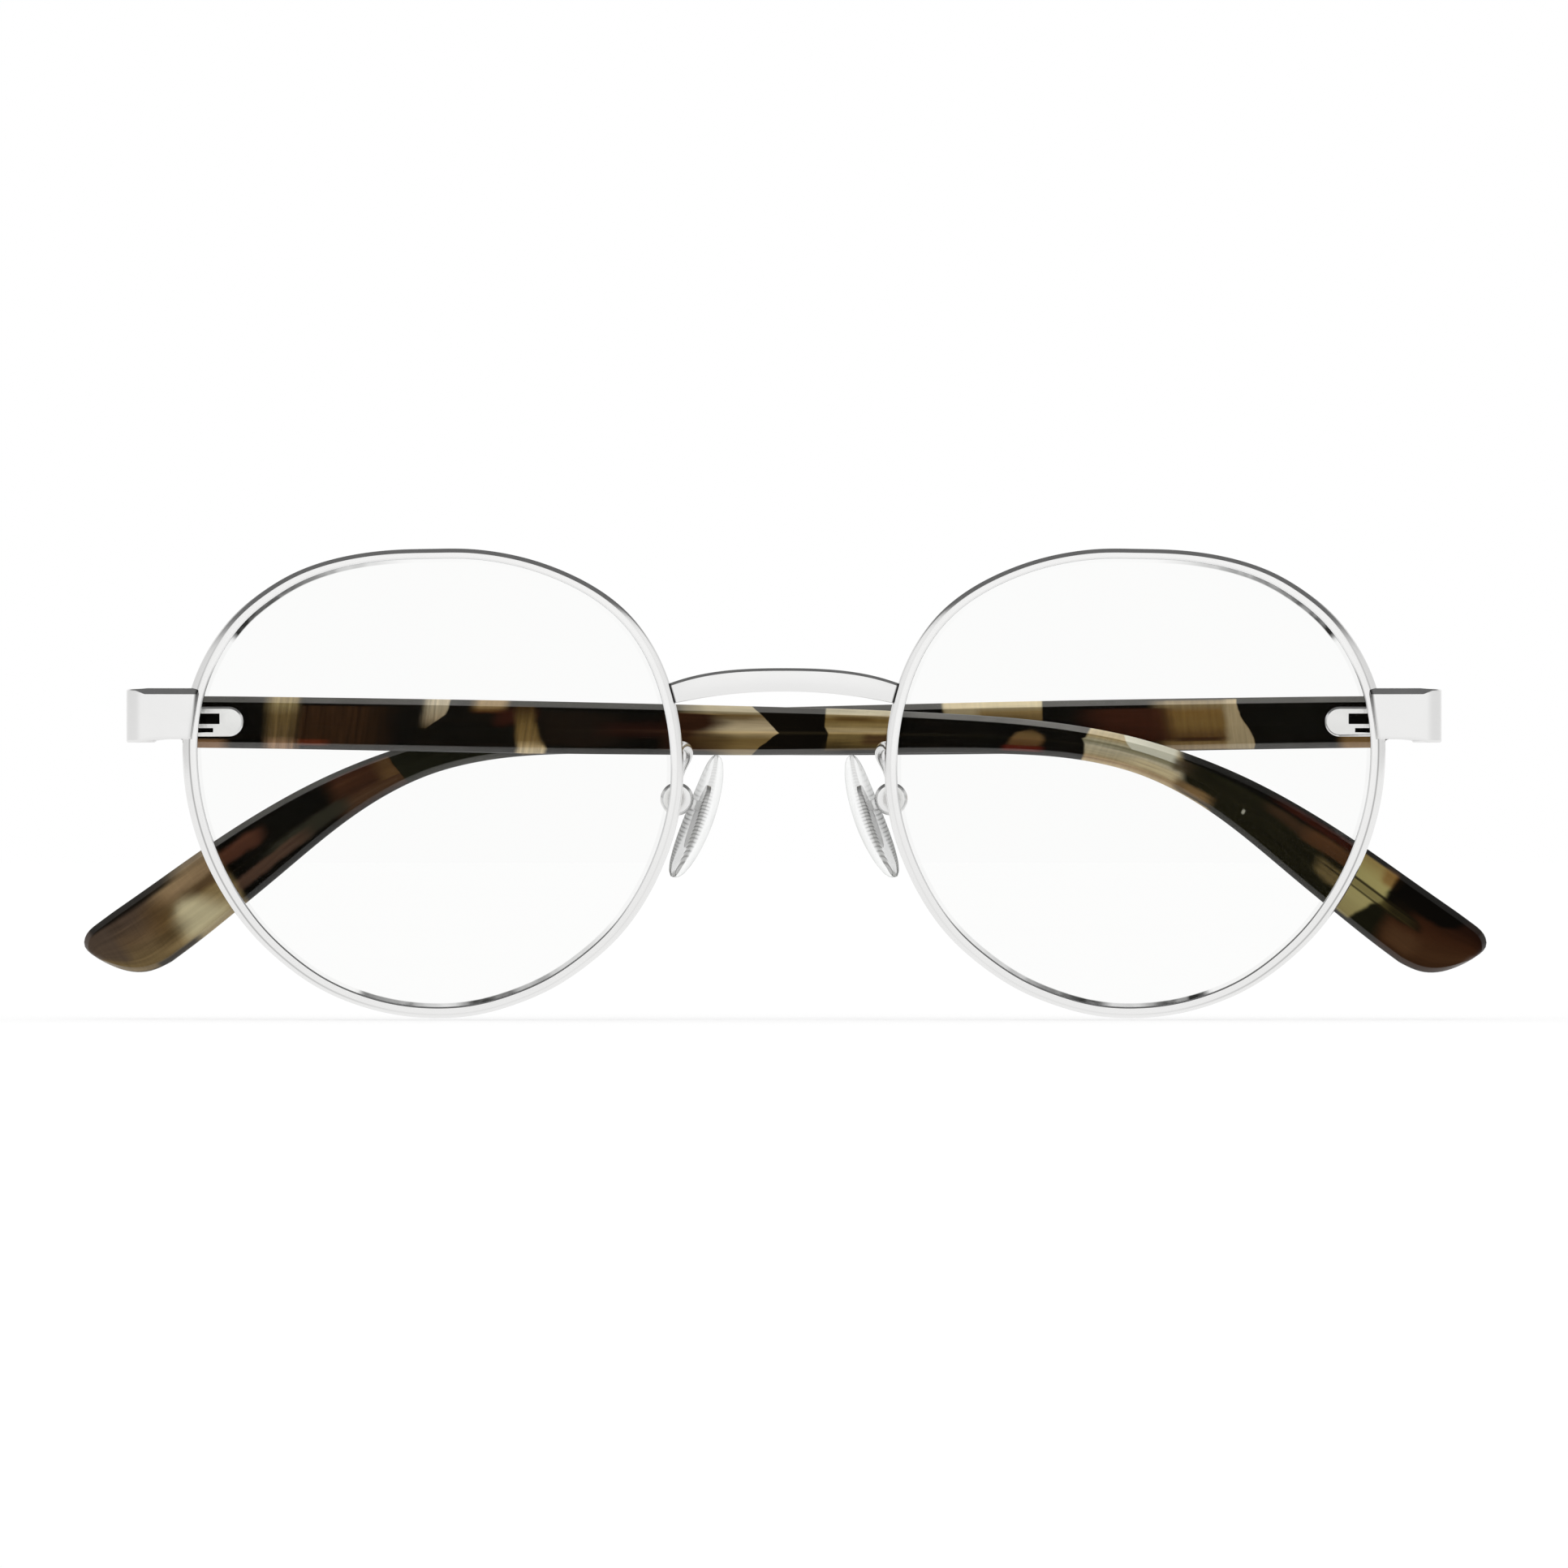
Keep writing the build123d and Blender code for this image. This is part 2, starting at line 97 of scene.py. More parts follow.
def even(points, n):
    """Points spaced evenly along a polyline."""
    p = np.array(points, float)
    t = np.r_[0.0, np.cumsum(np.linalg.norm(np.diff(p, axis=0), axis=1))]
    u = np.linspace(0, t[-1], n)
    return np.stack([np.interp(u, t, p[:, i]) for i in range(p.shape[1])], 1)


def soft_poly(corners, seg=4):
    """A closed polygon whose corners (x, y, cut) are rounded over the cut length."""
    out = []
    n = len(corners)
    for i in range(n):
        x, y, r = corners[i]
        c = np.array((x, y))
        a = np.array(corners[i - 1][:2])
        b = np.array(corners[(i + 1) % n][:2])
        if r <= 0:
            out.append(c)
            continue
        ua, ub = a - c, b - c
        la, lb = np.linalg.norm(ua), np.linalg.norm(ub)
        p, q = c + ua / la * min(r, la * 0.49), c + ub / lb * min(r, lb * 0.49)
        for k in range(seg + 1):
            s = k / seg
            out.append((1 - s) ** 2 * p + 2 * s * (1 - s) * c + s * s * q)
    return np.array(out)


# ------------------------------------------------------------------ meshes
def make(name, verts, faces, body, stands_for=(), material=None, attrs=None, smooth=True, weighted=True):
    verts = np.asarray(verts, float) * MM
    mesh = bpy.data.meshes.new(name)
    mesh.from_pydata([tuple(v) for v in verts], [], [tuple(int(i) for i in f) for f in faces])
    mesh.validate()
    for key, values in (attrs or {}).items():
        at = mesh.attributes.new(key, "FLOAT", "POINT")
        at.data.foreach_set("value", np.asarray(values, np.float32))
    mesh.update()
    mesh.shade_smooth() if smooth else None
    o = bpy.data.objects.new(name, mesh)
    bpy.context.scene.collection.objects.link(o)
    if weighted:
        w = o.modifiers.new("weighted", "WEIGHTED_NORMAL")
        w.weight = 70
        w.keep_sharp = True
    if material:
        mesh.materials.append(material)
    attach(o, body)
    if stands_for:
        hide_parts(*stands_for)
    return o


def skin(rings, closed_along=False, cap=True):
    """Faces over a stack of closed rings, with each ring's points in the same order."""
    n, m = len(rings), len(rings[0])
    faces = []
    for i in range(n if closed_along else n - 1):
        j = (i + 1) % n
        for k in range(m):
            l = (k + 1) % m
            faces.append((i * m + k, i * m + l, j * m + l, j * m + k))
    if cap and not closed_along:
        faces.append(tuple(range(m - 1, -1, -1)))
        faces.append(tuple((n - 1) * m + k for k in range(m)))
    return np.concatenate(rings), faces


def outward(verts, faces):
    """Flips every face if the closed shape is inside out."""
    v = np.asarray(verts)
    total = 0.0
    for f in faces:
        a = v[f[0]]
        for i in range(1, len(f) - 1):
            total += float(np.dot(a, np.cross(v[f[i]], v[f[i + 1]])))
    return [tuple(reversed(f)) for f in faces] if total < 0 else faces


def tube(points, r, seg=20, n=60, ends=True):
    c = curve(points, n)
    tan = np.gradient(c, axis=0)
    tan /= np.linalg.norm(tan, axis=1)[:, None]
    up = np.array((0.0, 0.0, 1.0)) if abs(tan[0][2]) < 0.9 else np.array((1.0, 0, 0))
    rings = []
    u = np.cross(tan[0], up)
    u /= np.linalg.norm(u)
    for i in range(n):
        u = u - tan[i] * np.dot(u, tan[i])
        u /= np.linalg.norm(u)
        w = np.cross(tan[i], u)
        ang = np.linspace(0, 2 * math.pi, seg, endpoint=False)
        rings.append(c[i] + r * (np.cos(ang)[:, None] * u + np.sin(ang)[:, None] * w))
    return skin(rings)


# ------------------------------------------------------------------ shader helper
class Mat:
    def __init__(self, name):
        self.m = bpy.data.materials.new(name)
        self.m.use_nodes = True
        self.t = self.m.node_tree
        self.t.nodes.clear()
        self.out = self.t.nodes.new("ShaderNodeOutputMaterial")

    def n(self, kind, props=None, **inputs):
        node = self.t.nodes.new(kind)
        for k, v in (props or {}).items():
            setattr(node, k, v)
        for k, v in inputs.items():
            key = k.replace("_", " ")
            self.put(node.inputs[key] if key in node.inputs else node.inputs[int(k[1:])], v)
        return node

    def put(self, socket, v):
        if isinstance(v, bpy.types.NodeSocket):
            self.t.links.new(v, socket)
        elif isinstance(v, bpy.types.Node):
            self.t.links.new(v.outputs[0], socket)
        else:
            socket.default_value = v

    def math(self, op, a, b=0.0, c=0.0, clamp=False):
        node = self.t.nodes.new("ShaderNodeMath")
        node.operation = op
        node.use_clamp = clamp
        self.put(node.inputs[0], a)
        self.put(node.inputs[1], b)
        if op in ("MULTIPLY_ADD", "SMOOTH_MIN", "SMOOTH_MAX", "WRAP", "COMPARE"):
            self.put(node.inputs[2], c)
        return node.outputs[0]

    def mix(self, fac, a, b, blend="MIX"):
        node = self.t.nodes.new("ShaderNodeMix")
        node.data_type = "RGBA"
        node.blend_type = blend
        self.put(node.inputs[0], fac)
        self.put(node.inputs[6], a)
        self.put(node.inputs[7], b)
        return node.outputs[2]

    def fit(self, v, a, b, c=0.0, d=1.0, smooth=True):
        node = self.t.nodes.new("ShaderNodeMapRange")
        node.interpolation_type = "SMOOTHSTEP" if smooth else "LINEAR"
        self.put(node.inputs[0], v)
        for i, x in enumerate((a, b, c, d)):
            self.put(node.inputs[i + 1], x)
        return node.outputs[0]

    def attr(self, name):
        node = self.t.nodes.new("ShaderNodeAttribute")
        node.attribute_name = name
        return node.outputs["Fac"]

    def ramp(self, fac, stops, interp="LINEAR"):
        node = self.t.nodes.new("ShaderNodeValToRGB")
        node.color_ramp.interpolation = interp
        els = node.color_ramp.elements
        while len(els) > 1:
            els.remove(els[-1])
        for i, (pos, col) in enumerate(stops):
            el = els[0] if i == 0 else els.new(pos)
            el.position = pos
            c = (col, col, col) if isinstance(col, (int, float)) else col
            el.color = (*c, 1.0)
        self.put(node.inputs[0], fac)
        return node.outputs[0]

    def noise(self, vec, scale, detail=3.0, rough=0.5, distortion=0.0):
        node = self.t.nodes.new("ShaderNodeTexNoise")
        self.put(node.inputs["Vector"], vec)
        node.inputs["Scale"].default_value = scale
        node.inputs["Detail"].default_value = detail
        node.inputs["Roughness"].default_value = rough
        node.inputs["Distortion"].default_value = distortion
        return node.outputs["Fac"]

    def place(self, scale=(1, 1, 1)):
        co = self.t.nodes.new("ShaderNodeTexCoord")
        mp = self.t.nodes.new("ShaderNodeMapping")
        mp.inputs["Scale"].default_value = scale
        self.t.links.new(co.outputs["Object"], mp.inputs["Vector"])
        return mp.outputs[0]

    def done(self, surface):
        self.put(self.out.inputs["Surface"], surface)
        return self.m


def lin(*rgb):
    """Display colours 0-255 to linear."""
    return tuple(((c / 255) / 12.92 if c <= 10 else ((c / 255 + 0.055) / 1.055) ** 2.4) for c in rgb)


# ------------------------------------------------------------------ metals
def metal(name, base, rough, grain=(1, 1, 1), grain_depth=0.02, tint=(1.0, 0.997, 0.99)):
    m = Mat(name)
    fine = m.noise(m.place(grain), 900.0, 4.0, 0.6)
    broad = m.noise(m.place(), 90.0, 3.0, 0.5)
    smudge = m.noise(m.place((1, 1, 2.2)), 260.0, 5.0, 0.65, 0.6)
    tone = m.math("MULTIPLY_ADD", broad, 0.06, base - 0.03)
    # painted shade: the metal is darkened where the mesh attribute marks it, as a dark reflection line along the
    # eyewires' fold, shade on their inner edge, and shade in the joints at the bridge and endpiece ends
    tone = m.math("MULTIPLY", tone, m.math("MULTIPLY_ADD", m.attr("painted_shade"), -0.90, 1.0))
    col = m.n("ShaderNodeCombineColor", Red=m.math("MULTIPLY", tone, tint[0]), Green=m.math("MULTIPLY", tone, tint[1]), Blue=m.math("MULTIPLY", tone, tint[2]))
    r = m.math("ADD", m.fit(smudge, 0.45, 0.75, rough, rough + 0.07), m.math("MULTIPLY", fine, 0.03))
    bump = m.n("ShaderNodeBump", Strength=grain_depth, Distance=0.0001, Height=m.math("ADD", fine, m.math("MULTIPLY", smudge, 0.4)))
    p = m.n("ShaderNodeBsdfPrincipled", Base_Color=col, Metallic=1.0, Roughness=r, Normal=bump)
    return m.done(p)


silver = metal("polished_silver", 0.93, 0.12)
silver_flat = metal("polished_flat", 0.92, 0.16, (1, 1, 6), 0.02)
hardware = metal("hinge_metal", 0.90, 0.20, (6, 1, 1), 0.05)
steel = metal("screw_steel", 0.66, 0.28, (1, 6, 1), 0.08, (1.0, 0.99, 0.97))
insert_metal = metal("insert_plate", 0.90, 0.30, (6, 1, 1), 0.05)
wire_steel = metal("drawn_wire", 0.40, 0.35, (8, 1, 1), 0.1, (1.0, 0.97, 0.90))


# ------------------------------------------------------------------ eyewires and lenses
BASE_R, BASE_X = 120.0, 28.0
W_T, W_N, W_TOP, W_BOT = 1.55, 1.30, 1.05, 1.15
RIM = [
    (35.9, 24.1), (39.8, 24.0), (43.6, 23.6), (47.2, 22.8), (50.6, 21.5), (53.6, 19.7),
    (56.5, 17.3), (58.9, 14.2), (60.6, 10.7), (61.6, 6.8), (61.8, 2.7), (61.4, -1.4),
    (60.5, -5.1), (59.1, -8.7), (57.2, -12.1), (54.8, -15.3), (51.7, -18.3), (48.2, -20.8),
    (44.3, -22.6), (40.2, -23.7), (36.0, -24.1), (31.7, -23.8), (27.6, -22.7), (23.7, -21.0),
    (20.1, -18.6), (17.0, -15.8), (14.5, -12.5), (12.6, -8.9), (11.2, -5.0), (10.45, -1.1),
    (10.35, 2.8), (10.85, 6.9), (11.95, 10.9), (13.6, 14.4), (16.0, 17.5), (19.0, 19.9),
    (22.4, 21.7), (26.0, 23.0), (29.7, 23.8), (32.8, 24.1),
]
LOOP = curve(RIM, 384, closed=True)
_tan = np.roll(LOOP, -1, 0) - np.roll(LOOP, 1, 0)
_tan /= np.linalg.norm(_tan, axis=1)[:, None]
OUTN = np.stack([-_tan[:, 1], _tan[:, 0]], 1)
_flip = np.sum(OUTN * (LOOP - np.array((36.0, 0.0))), 1) < 0
OUTN[_flip] *= -1
WIDTH = (
    np.where(OUTN[:, 0] > 0, W_T, W_N) * OUTN[:, 0] ** 2
    + np.where(OUTN[:, 1] > 0, W_TOP, W_BOT) * OUTN[:, 1] ** 2
)


def base_y(x, z, depth=0.0):
    """Height behind the datum plane of the surface that lies depth behind the formed front."""
    return BASE_R - np.sqrt((BASE_R - depth) ** 2 - (x - BASE_X) ** 2 - z**2)


PHI = np.degrees(np.arctan2(OUTN[:, 0], OUTN[:, 1]))     # 0 at the top, + towards the temple
SLOPE = np.interp(
    PHI,
    [-180, -120, -90, -60, -45, -32, -20, 0, 45, 56, 66, 90, 130, 180],
    [0.28, 0.24, 0.20, 0.20, 0.24, 0.42, 0.80, 1.0, 1.0, 0.62, 0.26, 0.22, 0.24, 0.28],
)
CREASE = np.where(OUTN[:, 1] > 0, 0.40, 0.36) * OUTN[:, 1] ** 2 + 0.47 * WIDTH * OUTN[:, 0] ** 2
# painted shade on the eyewire front, against the angle round the rim: a dark reflection line along the fold, and shade
# on the inner edge by the endpiece
PAINTED_FOLD_LINE = np.interp(PHI, [-180, -60, 45, 62, 85, 125, 150, 170, 180], [0.08, 0.10, 0.0, 0.28, 0.62, 0.62, 0.42, 0.14, 0.08])
PAINTED_INNER_SHADE = np.interp(PHI, [-180, 62, 67, 70, 76, 80, 180], [0.0, 0.0, 0.6, 0.85, 0.75, 0.0, 0.0])


def eyewire(side, body="front"):
    rings, painted_shade = [], []
    for i, ((x, z), (nx, nz)) in enumerate(zip(LOOP, OUTN)):
        w, slope, crease = WIDTH[i], SLOPE[i], CREASE[i]
        drop = (crease - 0.15) * slope
        near = min(0.13, crease * 0.4)
        prof = soft_poly(
            [
                (0.0, drop + 0.20, 0.04), (0.13, drop, 0.04), (crease - near, near * slope, 0.0), (crease, 0.0, 0.03),
                (crease + near, 0.005, 0.0), (w - 0.17, 0.03, 0.04), (w, 0.20, 0.05),
                (w, 1.86, 0.08), (w - 0.12, 2.0, 0.05), (0.2, 2.0, 0.10), (0.0, 1.8, 0.08),
            ],
            3,
        )
        px = x - nx * prof[:, 0]
        pz = z - nz * prof[:, 0]
        py = base_y(px, pz) + prof[:, 1]
        rings.append(np.stack([side * px, py, pz], 1))
        # painted shade, on the front-facing part of the section only: the dark reflection line along the fold and the
        # shade on the inner edge
        facing = prof[:, 1] < drop + 0.3
        line = PAINTED_FOLD_LINE[i] * np.clip(1 - np.abs(prof[:, 0] - crease) / near, 0, 1)
        inner = PAINTED_INNER_SHADE[i] * np.clip(1 - (w - prof[:, 0]) / 0.22, 0, 1)
        painted_shade.extend(np.where(facing, np.maximum(line, inner), 0.0))
    v, f = skin(rings, closed_along=True)
    return make(f"eyewire_{'left' if side > 0 else 'right'}_rim", v, outward(v, f), body,
                (f"eyewire_{'left' if side > 0 else 'right'}",), silver, {"painted_shade": painted_shade})


# how dark the painted shadow of the eyewire's groove shows along the lens edge, against the angle from the temple side
# over the top to the nose
EDGE_LINE = np.array([
    (0.0, 0.05), (0.0985, 0.06), (0.103, 0.92), (0.120, 0.88), (0.150, 0.78), (0.174, 0.64), (0.192, 0.42), (0.212, 0.18),
    (0.235, 0.02), (0.34, 0.0), (0.42, 0.03), (0.50, 0.05), (0.60, 0.06), (0.640, 0.34), (0.685, 0.70), (0.722, 0.95),
    (0.734, 0.30), (0.752, 0.34), (0.768, 0.80), (0.790, 1.0), (0.801, 0.80), (0.806, 0.08), (0.90, 0.07), (1.0, 0.05),
])


def lens_material():
    m = Mat("clear_lens")
    # painted shadow of the eyewire's groove: a dark line on the lens near its edge
    edge = m.attr("edge")
    line = m.attr("line")
    breakup = m.noise(m.place(), 420.0, 2.0, 0.5)
    line = m.math("MULTIPLY", line, m.fit(breakup, 0.3, 0.6, 0.65, 1.0))
    near = m.fit(edge, 0.35, 0.70, 0.0, 1.0)
    dark = m.math("MULTIPLY", m.math("MULTIPLY", line, near), 1.12, clamp=True)
    tint = m.mix(dark, (0.984, 0.985, 0.982, 1), (0.03, 0.03, 0.028, 1))
    clear = m.n("ShaderNodeBsdfTransparent", Color=tint)
    film = m.noise(m.place(), 35.0, 2.0, 0.5)
    gloss = m.n("ShaderNodeBsdfGlossy", Color=(0.95, 0.97, 1.0, 1), Roughness=m.fit(film, 0.3, 0.8, 0.0, 0.03))
    fres = m.n("ShaderNodeFresnel", IOR=1.22)
    mixed = m.n("ShaderNodeMixShader", i0=m.fit(fres, 0.012, 0.6, 0.0008, 0.42), i1=clear, i2=gloss)
    return m.done(mixed)


lens_mat = lens_material()


def lens(side):
    edge, line, rows = [], [], []
    cx, cz = 36.0, 0.0
    fractions = list(np.linspace(0.06, 0.96, 22)) + [0.975, 0.985, 0.992, 1.0]
    tag = "left" if side > 0 else "right"

    def ring(outline, f, depth, e):
        x = cx + (outline[:, 0] - cx) * f
        z = cz + (outline[:, 1] - cz) * f
        y = base_y(x, z, depth)
        rows.append(np.stack([side * x, y, z], 1))
        edge.extend([e] * len(x))
        a = (np.arctan2(outline[:, 1] - cz, -(outline[:, 0] - cx)) / (2 * math.pi)) % 1.0
        # angle measured from the temple side, over the top, towards the nose
        line.extend(np.interp((0.5 - a) % 1.0, EDGE_LINE[:, 0], EDGE_LINE[:, 1]))

    inner = LOOP - OUTN * (WIDTH + 0.03)[:, None]
    tongue = LOOP - OUTN * (WIDTH - 0.40)[:, None]
    for f in fractions:
        ring(inner, f, 0.35, 0.0 if f < 0.985 else (0.5 if f < 0.99 else 1.0))
    ring(tongue, 1.0, 1.0, 1.0)
    for f in reversed(fractions):
        ring(inner, f, 2.15, 0.0)
    n = len(LOOP)
    faces = []
    for i in range(len(rows) - 1):
        for k in range(n):
            l = (k + 1) % n
            faces.append((i * n + k, i * n + l, (i + 1) * n + l, (i + 1) * n + k))
    # each face closes on a middle point
    last = (len(rows) - 1) * n
    middle = len(rows) * n
    for depth in (0.35, 2.15):
        rows.append(np.array([[side * cx, float(base_y(np.array([cx]), np.array([cz]), depth)[0]), cz]]))
        edge.append(0.0)
        line.append(0.0)
    for k in range(n):
        l = (k + 1) % n
        faces.append((l, k, middle))
        faces.append((last + k, last + l, middle + 1))
    v = np.concatenate(rows)
    o = make(f"lens_{tag}_glass", v, outward(v, faces), "front", (f"lens_{tag}",), lens_mat,
             {"edge": edge, "line": line}, weighted=False)
    return o


for s in (-1, 1):
    eyewire(s)
    lens(s)

# ------------------------------------------------------------------ bridge
nasal = LOOP[(LOOP[:, 0] < 20) & (LOOP[:, 1] > 0)]
nasal = nasal[np.argsort(nasal[:, 1])]
temporal = LOOP[(LOOP[:, 0] > 52) & (LOOP[:, 1] > -6)]
temporal = temporal[np.argsort(temporal[:, 1])]


def nasal_x(z):
    return np.interp(z, nasal[:, 1], nasal[:, 0])


def temporal_x(z):
    return np.interp(z, temporal[:, 1], temporal[:, 0])


def bridge():
    top = curve([(-13.2, 9.75), (-9.67, 10.85), (-6.33, 11.5), (0, 11.83), (6.33, 11.5), (9.67, 10.85), (13.2, 9.75)], 400)
    low = curve([(-13.2, 7.9), (-9.0, 8.68), (-6.33, 9.05), (0, 9.42), (6.33, 9.05), (9.0, 8.68), (13.2, 7.9)], 400)
    us = list(np.linspace(-1, 1, 121))
    rings = []
    near = [0.985, 0.988, 0.991, 0.994]
    rows = [(-1.0, 0.10)] + [(-u, 0.0) for u in reversed(near)] + [(u, 0.0) for u in us[1:-1]] + [(u, 0.0) for u in near] + [(1.0, 0.10)]
    for u, shrink in rows:
        prof = soft_poly(
            [
                (0.0, 0.0, 0.07), (0.0, 1.0, 0.0), (0.0, 1.0, 0.0), (1.0, 1.0, 0.0), (1.0, 0.0, 0.0),
            ],
            1,
        )
        # height fraction h and depth d round the section: bevels are set in millimetres
        x_mid = u * 11.6
        zt = np.interp(x_mid, top[:, 0], top[:, 1])
        zb = np.interp(x_mid, low[:, 0], low[:, 1])
        hgt = zt - zb
        bt, bb, dep = 0.27, 0.14, 2.0
        sec = soft_poly(
            [
                (zb + bb * 0.2, bb, 0.05), (zb + bb, 0.0, 0.07), (zb + hgt * 0.5, -0.02, 0.3), (zt - bt, 0.0, 0.06), (zt, bt, 0.06),
                (zt, dep - 0.2, 0.06), (zt - 0.2, dep, 0.06), (zb + 0.2, dep, 0.06), (zb + bb * 0.2, dep - 0.2, 0.06),
            ],
            3,
        )
        zc = (zt + zb) / 2
        z = zc + (sec[:, 0] - zc) * (1 - shrink)
        d = 1.0 + (sec[:, 1] - 1.0) * (1 - shrink)
        reach = nasal_x(z) + 0.02
        x = u * reach
        y = 49.0 - np.sqrt((49.0 - 0.0) ** 2 - x**2) + d
        rings.append(np.stack([x, y, z], 1))
    v, f = skin(rings)
    # painted shade at both ends, where the bar meets the eyewires
    gap = nasal_x(v[:, 2]) + 0.02 - np.abs(v[:, 0])
    painted_shade = np.clip(1.0 - (gap - 0.04) / 0.14, 0, 1)
    return make("bridge_bar", v, outward(v, f), "front", ("bridge",), silver_flat, {"painted_shade": painted_shade})


bridge()


# ------------------------------------------------------------------ endpieces
def endpiece(side):
    ex, fy, back, hy = 67.60, 4.40, 6.80, 12.80
    inner_x = 64.90
    r = 1.9
    outer, inside = [], []
    n_run, n_arc, n_arm = 26, 18, 20
    runs = np.r_[0.0, 0.012, 0.03, 0.05, 0.075, 0.10, np.linspace(0.14, 1.0, n_run - 6)]
    for i in range(n_run):
        s = runs[i]
        outer.append((60.0 + s * (ex - r - 60.0), fy))
        inside.append((60.0 + s * (inner_x - 0.5 - 60.0), back))
    for i in range(1, n_arc):
        a = math.pi / 2 * i / n_arc
        outer.append((ex - r + r * math.sin(a), fy + r - r * math.cos(a)))
        inside.append((inner_x - 0.5 + 0.5 * math.sin(a), back + 0.5 - 0.5 * math.cos(a)))
    for i in range(n_arm):
        s = i / (n_arm - 1)
        outer.append((ex, fy + r + s * (hy - fy - r)))
        inside.append((inner_x, back + 0.5 + s * (hy - back - 0.5)))
    outer, inside = np.array(outer), np.array(inside)
    total = len(outer)
    rings = []
    for i in range(total):
        o, q = outer[i], inside[i]
        bend = np.clip((i - n_run + 6) / 10.0, 0, 1)
        zt = 9.80
        zb = 4.55 - 0.35 * bend * bend * (3 - 2 * bend)
        shrink = 0.0
        if i == total - 1:
            shrink = 0.07
        # the top bevel runs out round the corner
        run_out = 1.0 - 0.72 * np.clip((i - n_run + 1) / 6.0, 0, 1)
        zt = 9.80 - 0.10 * (1 - run_out)
        sec = soft_poly(
            [
                (zb, 0.07, 0.03), (zb + 0.16, 0.0, 0.10), (zt - 0.62 * run_out, 0.0, 0.09), (zt - 0.10 * run_out, 0.26 * run_out, 0.08), (zt, 0.26 * run_out + 0.14, 0.05),
                (zt, 0.93, 0.05), (zt - 0.15, 1.0, 0.05), (zb + 0.15, 1.0, 0.05), (zb, 0.93, 0.05),
            ],
            3,
        )
        zc = (zt + zb) / 2
        z = zc + (sec[:, 0] - zc) * (1 - shrink)
        thick = np.linalg.norm(q - o)
        # depth in millimetres near the outer face, so that the bevel keeps its width round the corner
        d = np.where(sec[:, 1] < 0.5, sec[:, 1] * 1.9 / thick, sec[:, 1])
        d = 0.5 + (d - 0.5) * (1 - shrink)
        xy = o[None, :] + (q - o)[None, :] * d[:, None]
        x = xy[:, 0].copy()
        if i < n_run:
            # the inboard end follows the line down the middle of the eyewire
            start = temporal_x(z) - 0.80
            s = runs[i]
            full = o[0] + (q[0] - o[0]) * d
            x = start + (full - start) * s
        if i == 0:
            x = x + 0.05
        y = xy[:, 1]
        rings.append(np.stack([side * x, y, z], 1))
    first = rings[1].copy()
    c = first.mean(0)
    rings[0] = c + (first - c) * np.array((1.0, 0.90, 0.95))
    rings[0][:, 0] = rings[1][:, 0] - side * 0.05
    v, f = skin(rings)
    # painted shade in the joint against the eyewire, strongest towards the top
    gap = np.abs(v[:, 0]) - (temporal_x(v[:, 2]) - 0.80)
    painted_shade = np.clip(1.0 - (gap - 0.10) / 0.22, 0, 1) * np.interp(v[:, 2], [4.2, 5.8, 6.8, 9.8], [0.12, 0.20, 0.97, 1.0])
    tag = "left" if side > 0 else "right"
    return make(f"endpiece_{tag}_block", v, outward(v, f), "front", (f"endpiece_{tag}",), silver_flat, {"painted_shade": painted_shade})


for s in (-1, 1):
    endpiece(s)

# ------------------------------------------------------------------ temples
HX, HY = 63.30, 12.80
OFF, START, THICK, TIP_THICK = 1.30, 0.40, 3.00, 2.50
T_TOP = [
    (START, 9.00), (4.5, 8.99), (12.0, 8.91), (20.3, 8.79), (30.7, 8.62), (41.1, 8.41),
    (52.0, 8.15), (63.3, 7.86), (70.3, 7.64), (76.1, 7.40), (82.8, 7.04), (87.0, 6.73),
    (91.1, 6.28), (95.3, 5.63), (99.5, 4.72), (103.6, 3.50), (107.8, 1.95), (112.0, 0.06),
    (116.1, -2.15), (120.3, -4.72), (124.5, -7.55), (128.6, -10.45), (132.6, -13.25),
]
T_TIP = [
    (132.6, -13.25), (134.3, -14.5), (135.4, -15.6), (135.6, -16.7), (134.6, -17.8),
    (132.8, -18.8), (130.9, -19.4), (129.0, -19.4), (126.6, -18.4),
]
T_LOW = [
    (126.6, -18.4), (123.6, -16.15), (120.3, -13.5), (116.1, -10.05), (112.0, -6.6),
    (107.8, -3.35), (103.6, -0.75), (99.5, 1.05), (95.3, 2.15), (91.1, 2.75), (87.0, 3.0),
    (82.8, 3.10), (76.1, 3.10), (70.3, 3.02), (63.3, 2.92), (52.0, 2.94), (41.1, 3.04),
    (30.7, 3.20), (20.3, 3.40), (12.0, 3.55), (4.5, 3.65), (2.50, 3.67),
]
_top = np.vstack([curve(T_TOP, 400), curve(T_TIP, 120)[1:52]])
_low = np.vstack([curve(T_TIP, 120)[51:-1], curve(T_LOW, 400), [(START, 5.0)]])[::-1]
N_ST = 300
T_UP = even(_top, N_ST)
T_DN = even(_low, N_ST)
T_MID = (T_UP + T_DN) / 2
T_LEN = np.r_[0.0, np.cumsum(np.linalg.norm(np.diff(T_MID, axis=0), axis=1))]


def place_right(p):
    """From the temple's own square position to the folded rest position, wearer's right."""
    a = math.radians(-1.60)
    x = p[:, 0] * math.cos(a) - p[:, 1] * math.sin(a) - HX
    y = p[:, 0] * math.sin(a) + p[:, 1] * math.cos(a) + HY
    return np.stack([x, y, p[:, 2]], 1)


def place_left(p):
    a = math.radians(-1.40)
    x = -p[:, 0] * math.cos(a) - p[:, 1] * math.sin(a) + HX
    y = -p[:, 0] * math.sin(a) + p[:, 1] * math.cos(a) + HY
    return np.stack([x, y, p[:, 2]], 1)


